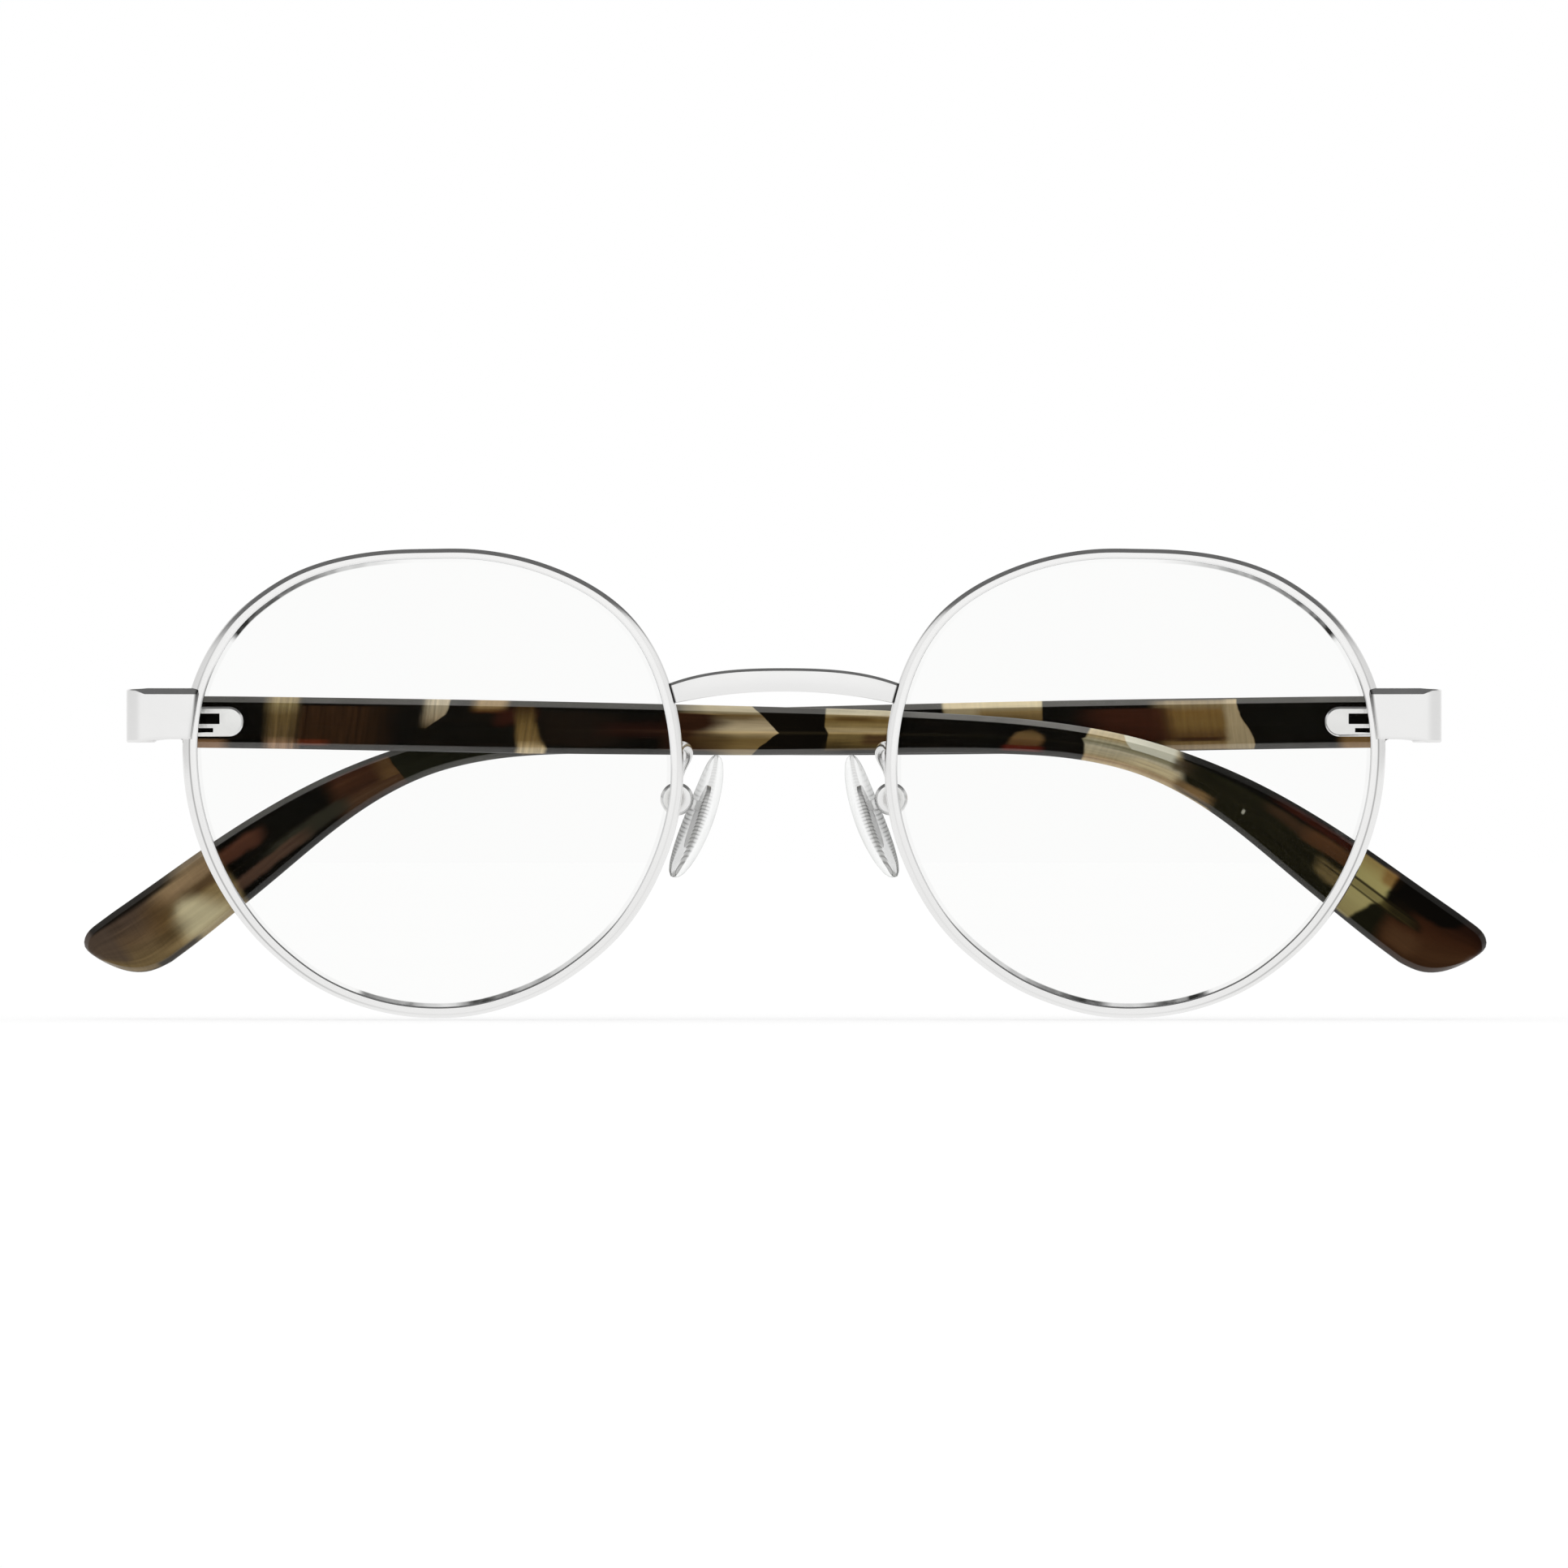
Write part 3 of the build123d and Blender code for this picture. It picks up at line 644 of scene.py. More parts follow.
def temple_mesh():
    rings, ts, th, tf = [], [], [], []
    for i in range(N_ST - 1):
        up, dn = T_UP[i], T_DN[i]
        mid = (up + dn) / 2
        half = np.linalg.norm(up - dn) / 2
        thick = THICK + (TIP_THICK - THICK) * np.clip((mid[0] - 55.0) / 45.0, 0, 1)
        left = T_LEN[-1] - T_LEN[i]
        b = min(0.62, half * 0.35)
        ridge = 0.14
        k = 1.0 if i > 0 else 0.93
        sec = soft_poly(
            [
                (half, 0.16 + b, 0.10), (half - b, ridge, 0.10), (-0.05 * half, 0.0, 0.16), (-half + b, ridge, 0.10), (-half, 0.16 + b, 0.10),
                (-half, thick - 0.55, 0.12), (-half + 0.45, thick - 0.10, 0.12), (0.0, thick, 0.5), (half - 0.45, thick - 0.10, 0.12), (half, thick - 0.55, 0.12),
            ],
            4,
        )
        h = sec[:, 0] / max(half, 1e-6)
        # the end of the tip is rounded in thickness too
        pinch = 1.0 if left > 1.2 else math.sqrt(max(0.0, 1 - (1 - left / 1.2) ** 2)) * 0.45 + 0.55
        d = thick / 2 + (sec[:, 1] - thick / 2) * k * pinch
        hh = h * k
        x = mid[0] + (up[0] - mid[0]) * hh
        z = mid[1] + (up[1] - mid[1]) * hh
        if i == 0:
            x = x + 0.0
        if i == 1:
            x = x - (T_MID[1][0] - T_MID[0][0]) * 0.7
        rings.append(np.stack([x, OFF + d, z], 1))
        ts.extend([T_LEN[i]] * len(h))
        th.extend(list(h))
        tf.extend([1.0 if yy < thick / 2 else 0.0 for yy in sec[:, 1]])
    v, f = skin(rings)
    return v, f, ts, th, tf


def acetate(name, ground, patches, bevel_up_sheen, bevel_low_sheen, ridge):
    """Tortoise acetate: soft and sharp bands of colour laid along the temple over a black ground.

    A patch is (left edge, right edge, low, high, colours, softness, opacity, cross streaks, long streaks).
    Edges are a distance along the temple in millimetres, or a list of (height, distance) pairs; heights run
    from -1 at the lower edge to 1 at the upper edge. Colours are one colour, or a list of (height, colour)."""
    m = Mat(name)
    s, h = m.attr("ts"), m.attr("th")
    side = m.attr("tf")
    co = m.place()
    cloud = m.math("SUBTRACT", m.noise(co, 260.0, 3.0, 0.5, 0.3), 0.5)
    s_soft = m.math("MULTIPLY_ADD", cloud, 1.3, s)
    s_crisp = m.math("MULTIPLY_ADD", cloud, 0.25, s)
    h_warp = m.math("MULTIPLY_ADD", cloud, 0.30, h)
    cross = m.n("ShaderNodeCombineXYZ", X=m.math("MULTIPLY", s, 2.6), Y=m.math("MULTIPLY", h, 0.35), Z=m.math("MULTIPLY", side, 4.0))
    cross = m.math("SUBTRACT", m.noise(cross, 1.0, 3.0, 0.6), 0.5)
    run = m.n("ShaderNodeCombineXYZ", X=m.math("MULTIPLY", s, 0.11), Y=m.math("MULTIPLY", h, 5.0), Z=m.math("MULTIPLY", side, 4.0))
    run = m.math("SUBTRACT", m.noise(run, 1.0, 4.0, 0.6, 0.3), 0.5)
    h01 = m.math("MULTIPLY_ADD", h, 0.5, 0.5)
    base = m.mix(m.fit(m.noise(co, 120.0, 3.0, 0.5), 0.35, 0.7), (*lin(*ground[0]), 1), (*lin(*ground[1]), 1))
    base = m.mix(m.fit(run, 0.0, 0.3, 0.0, 0.7), base, (*lin(*ground[2]), 1))
    col = base

    def edge(e):
        if isinstance(e, (int, float)):
            return float(e)
        return m.math("MULTIPLY", m.ramp(h01, [((hh + 1) / 2, x / 150.0) for hh, x in sorted(e)]), 150.0)

    for left, right, low, high, rgb, soft, power, cs, ls in patches:
        sl, sr, sh = soft
        along = s_soft if max(sl, sr) > 0.35 else s_crisp
        mask = m.fit(m.math("SUBTRACT", along, edge(left)), -sl, sl)
        mask = m.math("MULTIPLY", mask, m.fit(m.math("SUBTRACT", edge(right), along), -sr, sr))
        hv = h_warp if sh > 0.07 else h
        if low > -1:
            mask = m.math("MULTIPLY", mask, m.fit(hv, low - sh, low + sh))
        if high < 1:
            mask = m.math("MULTIPLY", mask, m.fit(hv, high + sh, high - sh))
        if isinstance(rgb, list):
            tone = m.ramp(h01, [((hh + 1) / 2, lin(*c)) for hh, c in sorted(rgb)])
        else:
            tone = m.ramp(h01, [(0.0, lin(*rgb)), (1.0, lin(*rgb))])
        k = m.math("MULTIPLY_ADD", cross, 2 * cs * 2.2, 1.0)
        k = m.math("MULTIPLY_ADD", run, 2 * ls * 2.2, k)
        k = m.math("MAXIMUM", k, 0.12)
        vm = m.t.nodes.new("ShaderNodeVectorMath")
        vm.operation = "SCALE"
        m.t.links.new(tone, vm.inputs[0])
        m.t.links.new(k, vm.inputs["Scale"])
        col = m.mix(m.math("MULTIPLY", mask, power), col, vm.outputs[0])

    # painted highlight along the crest in the middle of the inner face
    ridge_highlight = m.fit(m.math("ABSOLUTE", m.math("ADD", h, 0.07)), 0.11, 0.0)
    ridge_highlight = m.math("MULTIPLY", ridge_highlight, m.ramp(m.math("DIVIDE", s, 150.0), [(x / 150.0, v) for x, v in ridge]))
    glint = m.mix(1.0, m.mix(1.0, col, (1.55, 1.5, 1.45, 1), "MULTIPLY"), (0.012, 0.009, 0.004, 1), "ADD")
    col = m.mix(m.math("MULTIPLY", ridge_highlight, side), col, glint)
    # painted highlight: the bevels are lightened over the faces by the height of their normal, most of all near the top
    # edge
    geo = m.t.nodes.new("ShaderNodeNewGeometry")
    sep = m.t.nodes.new("ShaderNodeSeparateXYZ")
    m.t.links.new(geo.outputs["Normal"], sep.inputs[0])
    nz = sep.outputs["Z"]
    up = m.math("MULTIPLY", m.fit(nz, 0.30, 0.60), m.fit(nz, 1.02, 0.90, 0.45, 1.0))
    up = m.math("MULTIPLY", up, m.ramp(m.math("DIVIDE", s, 150.0), [(x / 150.0, v / 2.0) for x, v in bevel_up_sheen]))
    dn = m.math("MULTIPLY", m.fit(nz, -0.30, -0.60), m.fit(nz, -1.02, -0.90, 0.35, 1.0))
    dn = m.math("MULTIPLY", dn, m.ramp(m.math("DIVIDE", s, 150.0), [(x / 150.0, v / 2.0) for x, v in bevel_low_sheen]))
    top_sheen = m.math("MULTIPLY", m.math("MULTIPLY", m.fit(nz, 0.74, 0.86), m.fit(nz, 1.02, 0.94, 0.2, 1.0)), 0.5)
    up = m.math("MULTIPLY", up, m.math("ADD", 1.0, top_sheen))
    sheen = m.math("MULTIPLY", m.math("ADD", up, dn), m.math("MULTIPLY_ADD", cloud, 0.6, 1.0))
    sheen_grey = m.n("ShaderNodeCombineColor", Red=m.math("MULTIPLY", sheen, 0.230), Green=m.math("MULTIPLY", sheen, 0.225), Blue=m.math("MULTIPLY", sheen, 0.210))
    lifted = m.mix(m.math("MINIMUM", m.math("MULTIPLY", sheen, 1.2), 1.0), col, m.mix(1.0, col, (1.7, 1.7, 1.75, 1), "MULTIPLY"))
    col = m.mix(1.0, lifted, sheen_grey, "ADD")
    rough = m.fit(m.noise(co, 500.0, 3.0, 0.6), 0.4, 0.8, 0.07, 0.16)
    bump = m.n("ShaderNodeBump", Strength=0.03, Distance=0.0001, Height=m.math("ADD", run, m.noise(co, 1500.0, 2.0, 0.5)))
    matte = m.n("ShaderNodeBsdfDiffuse", Color=col)
    shine = m.n("ShaderNodeBsdfGlossy", Color=(1, 1, 1, 1), Roughness=rough, Normal=bump)
    lw = m.n("ShaderNodeLayerWeight", Blend=0.5)
    amount = m.math("MULTIPLY_ADD", m.math("POWER", lw.outputs["Facing"], 2.2), 0.50, 0.0012)
    return m.done(m.n("ShaderNodeMixShader", i0=amount, i1=matte, i2=shine))


A_PATCHES = [
    # warm ground between the two hinge-side bands, striped across
    (12.6, 21.0, -0.80, 0.68, (44, 27, 13), (1.0, 3.0, 0.05), 0.95, 0.60, 0.0),
    (13.0, 16.0, -0.84, -0.62, (84, 36, 16), (0.8, 0.8, 0.06), 0.90, 0.2, 0.0),
    ([(0.7, 9.75), (-0.8, 9.9)], [(0.7, 12.6), (-0.8, 12.7)], -1, 1, [(-0.8, (140, 110, 82)), (-0.5, (88, 70, 42)), (0.3, (94, 76, 44)), (0.7, (128, 112, 76))], (0.8, 0.9, 0.05), 0.95, 0.50, 0.0),
    (2.0, 5.6, -1, -0.66, (132, 98, 66), (0.8, 1.0, 0.05), 0.8, 0.0, 0.1),
    # short pointed streak
    (25.9, [(0.7, 28.3), (0.40, 28.15), (0.34, 27.9), (0.10, 27.0), (-0.08, 26.4)], -0.12, 1, [(-0.1, (62, 50, 30)), (0.3, (140, 124, 98)), (0.7, (158, 146, 120))], (0.7, 0.14, 0.05), 0.92, 0.40, 0.0),
    # spot below the upper edge
    (30.8, 34.0, 0.52, 1, [(0.5, (60, 30, 14)), (0.62, (96, 68, 34)), (0.75, (140, 116, 78))], (0.8, 0.6, 0.08), 0.85, 0.1, 0.1),
    (33.2, 37.2, 0.10, 0.68, (50, 20, 10), (0.8, 0.8, 0.15), 0.70, 0.2, 0.0),
    # slanted tan band, palest at the lower edge
    ([(0.7, 34.9), (0.0, 35.4), (-0.8, 35.8)], [(0.7, 36.9), (0.1, 37.4), (-0.35, 37.8), (-0.8, 38.6)], -1, 0.80, [(-0.85, (182, 164, 128)), (-0.70, (160, 138, 98)), (-0.50, (112, 90, 52)), (0.10, (96, 76, 40)), (0.7, (54, 38, 16))], (0.45, 0.35, 0.05), 0.95, 0.34, 0.0),
    (38.0, 46.0, -0.70, 0.60, (24, 16, 9), (1.0, 2.0, 0.1), 0.8, 0.3, 0.1),
    (44.5, 52.0, -0.30, 0.28, (36, 15, 8), (1.8, 1.2, 0.15), 0.75, 0.0, 0.4),
    (51.0, 57.0, -0.82, 0.70, (46, 25, 13), (1.2, 1.6, 0.05), 0.92, 0.0, 0.30),
    # chevron
    ([(1.0, 52.5), (0.66, 53.0), (0.60, 56.0), (0.25, 56.6), (-0.05, 55.2), (-0.5, 55.0), (-1.0, 57.5)], [(1.0, 59.3), (0.68, 60.25), (0.3, 61.4), (-0.08, 62.75), (-0.25, 61.95), (-0.68, 60.7), (-1.0, 60.2)], -1, 1,
     [(-1.0, (130, 118, 90)), (-0.70, (108, 88, 52)), (-0.35, (104, 84, 48)), (-0.12, (146, 128, 92)), (0.05, (172, 156, 124)), (0.40, (144, 128, 98)), (0.62, (112, 90, 54)), (0.75, (152, 140, 110))], (2.0, 0.10, 0.05), 0.97, 0.0, 0.30),
    (53.5, 57.6, -0.80, -0.18, (66, 48, 26), (1.4, 1.4, 0.16), 0.65, 0.0, 0.4),
    (56.0, 59.4, 0.42, 0.66, (84, 64, 34), (1.2, 1.0, 0.08), 0.55, 0.0, 0.4),
    # band after the chevron
    ([(1.0, 66.75), (0.2, 66.95), (-0.08, 67.5), (-0.7, 67.85), (-1.0, 67.7)], 73.9, -0.82, 1,
     [(-0.8, (70, 56, 30)), (-0.5, (92, 74, 40)), (-0.12, (112, 94, 56)), (0.02, (160, 142, 104)), (0.25, (132, 112, 70)), (0.55, (100, 78, 38)), (0.7, (134, 114, 76)), (0.8, (160, 150, 122))], (0.12, 0.6, 0.05), 0.97, 0.05, 0.34),
    (68.0, 71.6, 0.48, 0.66, (74, 52, 22), (0.9, 0.8, 0.06), 0.7, 0.0, 0.1),
    (71.3, 74.2, -0.55, -0.10, (64, 42, 24), (0.7, 0.6, 0.10), 0.8, 0.0, 0.2),
    (67.6, 69.8, -0.82, -0.45, (44, 34, 16), (0.5, 1.0, 0.10), 0.5, 0.0, 0.2),
    # round spot
    ([(0.45, 88.0), (0.25, 86.9), (-0.1, 86.4), (-0.7, 86.2)], [(0.45, 88.3), (0.2, 89.3), (-0.1, 89.7), (-0.7, 89.6)], -0.50, 0.42, [(-0.4, (84, 58, 32)), (0.1, (100, 78, 46)), (0.4, (78, 60, 34))], (0.45, 0.45, 0.12), 0.90, 0.0, 0.10),
    (86.0, 90.0, -0.80, -0.48, (80, 24, 14), (0.5, 0.6, 0.06), 0.85, 0.0, 0.1),
    # cream run up to the bend
    ([(1.0, 93.9), (0.4, 93.8), (0.3, 93.55), (0.0, 93.95), (-0.5, 94.3), (-1.0, 94.5)], [(1.0, 103.4), (0.6, 103.9), (0.1, 104.4), (-0.4, 105.3), (-0.6, 108.3), (-1.0, 108.6)], -1, 1,
     [(-1.0, (176, 158, 124)), (-0.75, (146, 120, 82)), (-0.45, (158, 146, 116)), (0.0, (158, 150, 126)), (0.12, (140, 134, 110)), (0.24, (112, 106, 82)), (0.34, (150, 142, 116)), (0.6, (146, 128, 90)), (0.9, (156, 142, 108))], (0.14, 0.55, 0.05), 0.98, 0.12, 0.26),
    ([(0.95, 97.3), (0.6, 97.9), (0.30, 98.8)], [(1.0, 103.2), (0.3, 103.7)], 0.27, 1, (182, 180, 162), (0.12, 0.45, 0.03), 0.95, 0.0, 0.05),
    (97.0, 104.6, 0.02, 0.24, (104, 98, 74), (1.6, 0.6, 0.06), 0.65, 0.0, 0.5),
    (99.0, 104.4, -0.60, -0.16, (178, 162, 126), (1.8, 0.8, 0.10), 0.75, 0.0, 0.38),
    (103.3, 106.0, -0.05, 0.60, (64, 52, 36), (0.5, 0.8, 0.12), 0.80, 0.0, 0.2),
    (104.4, 108.4, -0.80, -0.36, (126, 98, 64), (0.7, 1.0, 0.10), 0.85, 0.0, 0.3),
    # olive body after the bend, black along its upper edge
    (104.8, 129.0, -0.95, 0.60, (26, 24, 12), (1.2, 1.0, 0.05), 0.90, 0.0, 0.36),
    (104.4, 124.0, 0.60, 1, (8, 7, 4), (0.7, 0.8, 0.05), 0.95, 0.0, 0.10),
    (105.2, 108.2, -0.84, -0.40, (122, 96, 62), (0.9, 0.9, 0.10), 0.75, 0.0, 0.3),
    (114.0, 122.0, 0.22, 0.56, (58, 40, 25), (1.6, 1.2, 0.10), 0.80, 0.0, 0.25),
    (119.0, 125.5, 0.20, 0.62, (80, 52, 30), (1.4, 0.8, 0.10), 0.85, 0.0, 0.2),
    (115.0, 124.5, 0.66, 0.90, (58, 24, 14), (2.0, 0.8, 0.06), 0.70, 0.0, 0.4),
    (111.86, 112.14, -0.32, -0.16, (168, 166, 150), (0.10, 0.10, 0.05), 0.85, 0.0, 0.0),
    (121.3, 125.0, -0.42, 0.02, (108, 92, 58), (0.8, 0.5, 0.12), 0.80, 0.0, 0.3),
    # khaki window and the dark end
    (124.2, [(1.0, 128.9), (0.4, 129.5), (0.0, 129.2), (-0.2, 128.4), (-0.8, 126.9), (-1.0, 126.6)], -0.90, 0.86, [(-0.9, (132, 120, 78)), (-0.3, (150, 140, 92)), (0.4, (152, 142, 90)), (0.85, (136, 116, 68))], (0.4, 0.32, 0.04), 0.98, 0.0, 0.05),
    (127.8, 129.9, 0.50, 0.90, (112, 76, 36), (0.5, 0.4, 0.10), 0.70, 0.0, 0.1),
    ([(0.0, 128.8), (-0.2, 128.3), (-0.8, 126.9)], 131.2, -0.95, -0.02, (20, 19, 9), (0.45, 1.1, 0.10), 0.96, 0.0, 0.12),
    (130.6, 141.0, -0.98, 1, [(-0.9, (46, 27, 13)), (-0.5, (60, 38, 21)), (0.1, (50, 27, 13)), (0.6, (32, 15, 7)), (1.0, (18, 9, 5))], (1.0, 0.3, 0.05), 0.97, 0.0, 0.12),
    (131.4, 134.5, -0.72, -0.24, (76, 52, 32), (0.9, 1.0, 0.14), 0.60, 0.0, 0.15),
    (129.2, [(1.0, 137.6), (0.6, 137.0), (0.36, 135.6)], 0.36, 1, (6, 5, 3), (0.35, 0.6, 0.08), 0.97, 0.0, 0.05),
    (129.3, 132.8, -0.06, 0.44, (10, 8, 4), (0.6, 1.2, 0.10), 0.90, 0.0, 0.05),
    # core wire showing inside the pale window
    (121.5, 133.4, 0.115, 0.195, (26, 21, 9), (1.2, 0.8, 0.030), 0.92, 0.0, 0.1),
    (121.5, 131.8, -0.115, -0.055, (30, 25, 11), (1.2, 1.2, 0.028), 0.85, 0.0, 0.1),
    (124.6, 133.0, -0.05, 0.11, (86, 76, 40), (0.6, 1.0, 0.03), 0.55, 0.0, 0.1),
    (130.0, 134.0, -0.06, 0.13, (16, 12, 6), (0.8, 0.5, 0.06), 0.75, 0.0, 0.1),
]
B_PATCHES = [
    (2.0, 5.8, -1, -0.50, (128, 98, 58), (0.8, 0.9, 0.05), 0.85, 0.1, 0.1),
    # wide tan band with a clean slanted edge on the hinge side
    ([(0.7, 16.1), (0.3, 15.8), (-0.3, 15.15), (-0.8, 14.7)], 24.2, -0.96, 0.92, [(-0.9, (150, 128, 92)), (-0.7, (120, 96, 58)), (-0.5, (82, 58, 30)), (0.0, (108, 84, 44)), (0.5, (108, 82, 42)), (0.75, (120, 104, 74))], (0.12, 1.4, 0.05), 0.97, 0.18, 0.10),
    ([(0.95, 16.1), (0.3, 15.8), (-0.3, 15.15), (-0.8, 14.7)], 17.5, -0.96, 0.94, (152, 136, 104), (0.12, 0.5, 0.05), 0.90, 0.22, 0.0),
    (23.4, 31.5, -0.60, 0.64, (54, 26, 14), (1.2, 2.5, 0.05), 0.90, 0.12, 0.2),
    (17.8, 23.0, -0.64, -0.50, (40, 16, 8), (1.0, 1.4, 0.04), 0.80, 0.0, 0.1),
    ([(1.0, 36.0), (-0.5, 36.6)], 46.2, 0.15, 1, [(0.3, (110, 88, 50)), (0.6, (138, 114, 72)), (0.8, (172, 158, 122))], (0.14, 0.3, 0.2), 0.97, 0.08, 0.2),
    (43.0, 46.2, 0.40, 1, (176, 160, 124), (0.8, 0.3, 0.1), 0.8, 0.1, 0.1),
    (52.0, 58.5, -0.80, 0.70, (112, 90, 52), (1.6, 0.2, 0.05), 0.90, 0.05, 0.25),
    (63.5, 72.0, -0.80, 0.70, (150, 134, 98), (0.2, 1.8, 0.05), 0.90, 0.05, 0.25),
    (87.6, 90.6, -0.9, 0.80, (122, 98, 60), (0.5, 0.5, 0.05), 0.9, 0.3, 0.0),
    # dark olive up to the bend
    (92.0, 104.0, -0.95, 0.80, (26, 26, 15), (1.5, 0.5, 0.05), 0.85, 0.0, 0.25),
    ([(1.0, 103.9), (0.0, 103.4), (-1.0, 102.9)], 110.6, -0.95, 0.80, [(-0.9, (40, 24, 14)), (-0.5, (74, 52, 34)), (-0.1, (50, 29, 17)), (0.4, (66, 40, 24)), (0.8, (48, 24, 14))], (0.12, 1.3, 0.05), 0.95, 0.05, 0.22),
    ([(1.0, 103.9), (0.0, 103.4), (-1.0, 102.9)], 105.2, -0.30, 0.74, (90, 66, 38), (0.12, 0.9, 0.05), 0.80, 0.05, 0.2),
    (109.6, 119.5, -0.62, -0.12, (44, 42, 32), (1.2, 1.5, 0.10), 0.85, 0.0, 0.25),
    (115.0, 125.0, -0.64, -0.30, (74, 54, 42), (1.8, 0.8, 0.08), 0.85, 0.0, 0.25),
    (119.0, 125.5, 0.20, 0.62, (78, 47, 33), (1.2, 0.8, 0.10), 0.85, 0.05, 0.2),
    # pale end
    (124.0, 133.5, -1, 1, [(-0.8, (140, 122, 86)), (-0.3, (130, 112, 76)), (0.1, (100, 82, 52)), (0.4, (126, 104, 76)), (0.7, (134, 112, 82)), (0.95, (112, 98, 76))], (0.6, 1.8, 0.05), 0.97, 0.05, 0.26),
    (124.0, 129.0, 0.02, 0.30, (72, 54, 34), (0.9, 1.6, 0.08), 0.80, 0.0, 0.35),
    ([(0.15, 128.8), (-0.1, 127.6), (-0.7, 126.0)], [(0.15, 130.4), (-0.2, 131.6), (-0.7, 131.0)], -0.86, 0.14, (178, 168, 134), (1.5, 1.3, 0.20), 0.92, 0.0, 0.12),
    (131.8, 141.0, -0.98, 1, [(-0.9, (112, 94, 62)), (-0.5, (104, 86, 58)), (0.0, (88, 70, 50)), (0.5, (74, 60, 48)), (0.9, (60, 48, 40))], (1.4, 0.3, 0.05), 0.92, 0.10, 0.34),
    (130.6, 133.8, -0.55, 0.60, (72, 52, 24), (1.4, 1.4, 0.22), 0.60, 0.0, 0.5),
    (137.2, 141.0, -0.60, 0.80, (72, 60, 50), (0.8, 0.3, 0.15), 0.80, 0.05, 0.1),
    (129.0, 139.2, 0.74, 1, (10, 8, 5), (1.6, 0.4, 0.07), 0.92, 0.0, 0.1),
    (130.0, 135.4, -1, -0.86, (12, 10, 7), (0.9, 0.4, 0.05), 0.90, 0.0, 0.1),
]
SPANS = ((0.0, 44.0), (44.0, 92.0), (92.0, 123.0), (123.0, 150.0))


def reach(patch):
    a, b = patch[0], patch[1]
    a = [a] if isinstance(a, (int, float)) else [x for _, x in a]
    b = [b] if isinstance(b, (int, float)) else [x for _, x in b]
    return min(a) - 2.0 * patch[5][0] - 0.8, max(b) + 2.0 * patch[5][1] + 0.8


def acetate_set(name, ground, patches, up, low, ridge):
    """One material for each stretch of the temple, all cut from the same sheet."""
    out = []
    for k, (a, b) in enumerate(SPANS):
        here = [p for p in patches if reach(p)[1] > a and reach(p)[0] < b]
        out.append(acetate(f"{name}_{k + 1}", ground, here, up, low, ridge))
    return out


# each call gives the ground and the patches, then the painted sheen on the upper and lower bevels and the painted
# highlight along the crest, against the distance along the temple
mats_a = acetate_set("acetate_right", ((5, 4, 2), (12, 9, 5), (23, 16, 9)), A_PATCHES,
                     [(0.0, 0.9), (26, 1.0), (52, 0.85), (74, 0.95), (77, 1.5), (92, 1.6), (97, 1.1), (103, 0.5), (105, 0.12), (140, 0.10)],
                     [(0.0, 0.45), (8, 0.55), (22, 0.5), (30, 0.35), (50, 0.25), (53, 0.7), (67, 0.6), (70, 0.35), (95, 0.3), (104, 0.12), (140, 0.12)],
                     [(0.0, 0.0), (40, 0.0), (55, 0.7), (60, 1.0), (70, 0.9), (74, 0.4), (100, 0.2), (140, 0.0)])
mats_b = acetate_set("acetate_left", ((5, 4, 2), (11, 9, 5), (22, 16, 9)), B_PATCHES,
                     [(0.0, 1.25), (60, 1.1), (100, 0.9), (123, 0.85), (126, 0.2), (140, 0.15)],
                     [(0.0, 0.5), (16, 0.6), (30, 0.35), (95, 0.4), (104, 0.25), (106, 0.12), (140, 0.10)],
                     [(0.0, 0.0), (90, 0.1), (140, 0.1)])

tv, tfaces, ts, th, tf = temple_mesh()
ring_size = len(ts) // (N_ST - 1)
for tag, place, body, mats in (("right", place_right, "temple_right_body", mats_a), ("left", place_left, "temple_left_body", mats_b)):
    v = place(tv)
    o = make(f"temple_{tag}_acetate", v, outward(v, tfaces), body, (f"temple_{tag}",), mats[0],
             {"ts": ts, "th": th, "tf": tf})
    for extra in mats[1:]:
        o.data.materials.append(extra)
    for poly in o.data.polygons:
        at = ts[poly.vertices[0]]
        poly.material_index = next(k for k, (a, b) in enumerate(SPANS) if at < b)

# ------------------------------------------------------------------ nose pads and arms
def pad_material():
    m = Mat("clear_pad")
    lw = m.n("ShaderNodeLayerWeight", Blend=0.5)
    facing = lw.outputs["Facing"]
    haze = m.noise(m.place(), 300.0, 3.0, 0.5)
    # painted shade: the clear pad's outline, darker where its surface turns edge-on
    rim = m.math("MULTIPLY", m.fit(facing, 0.74, 0.97), m.fit(haze, 0.25, 0.6, 0.55, 1.0))
    # grip lines across the back face
    u, v = m.attr("pu"), m.attr("pv")
    wave = m.math("SINE", m.math("MULTIPLY", m.math("ADD", u, m.math("MULTIPLY", v, 0.9)), 14.5))
    lines = m.math("MULTIPLY", m.fit(wave, 0.0, 0.8), m.math("MULTIPLY", m.attr("bk"), m.fit(u, 3.6, 0.5, 0.15, 1.0)))
    # painted shade along the back edge of the clear pad, stronger towards the lower end
    edge = m.math("MULTIPLY", m.attr("ek"), m.fit(u, 5.5, -5.0, 0.35, 0.9))
    tint = m.mix(rim, (0.99, 0.992, 0.99, 1), (0.72, 0.73, 0.72, 1))
    tint = m.mix(m.math("MULTIPLY", lines, 0.95), tint, (0.30, 0.30, 0.30, 1))
    tint = m.mix(m.math("MULTIPLY", edge, 0.8), tint, (0.26, 0.26, 0.25, 1))
    clear = m.n("ShaderNodeBsdfTransparent", Color=tint)
    body = m.n("ShaderNodeBsdfPrincipled", Base_Color=(0.95, 0.955, 0.95, 1), Roughness=m.fit(haze, 0.3, 0.8, 0.10, 0.25), IOR=1.42)
    mixed = m.n("ShaderNodeMixShader", i0=m.fit(haze, 0.3, 0.7, 0.05, 0.09), i1=clear, i2=body)
    return m.done(mixed)


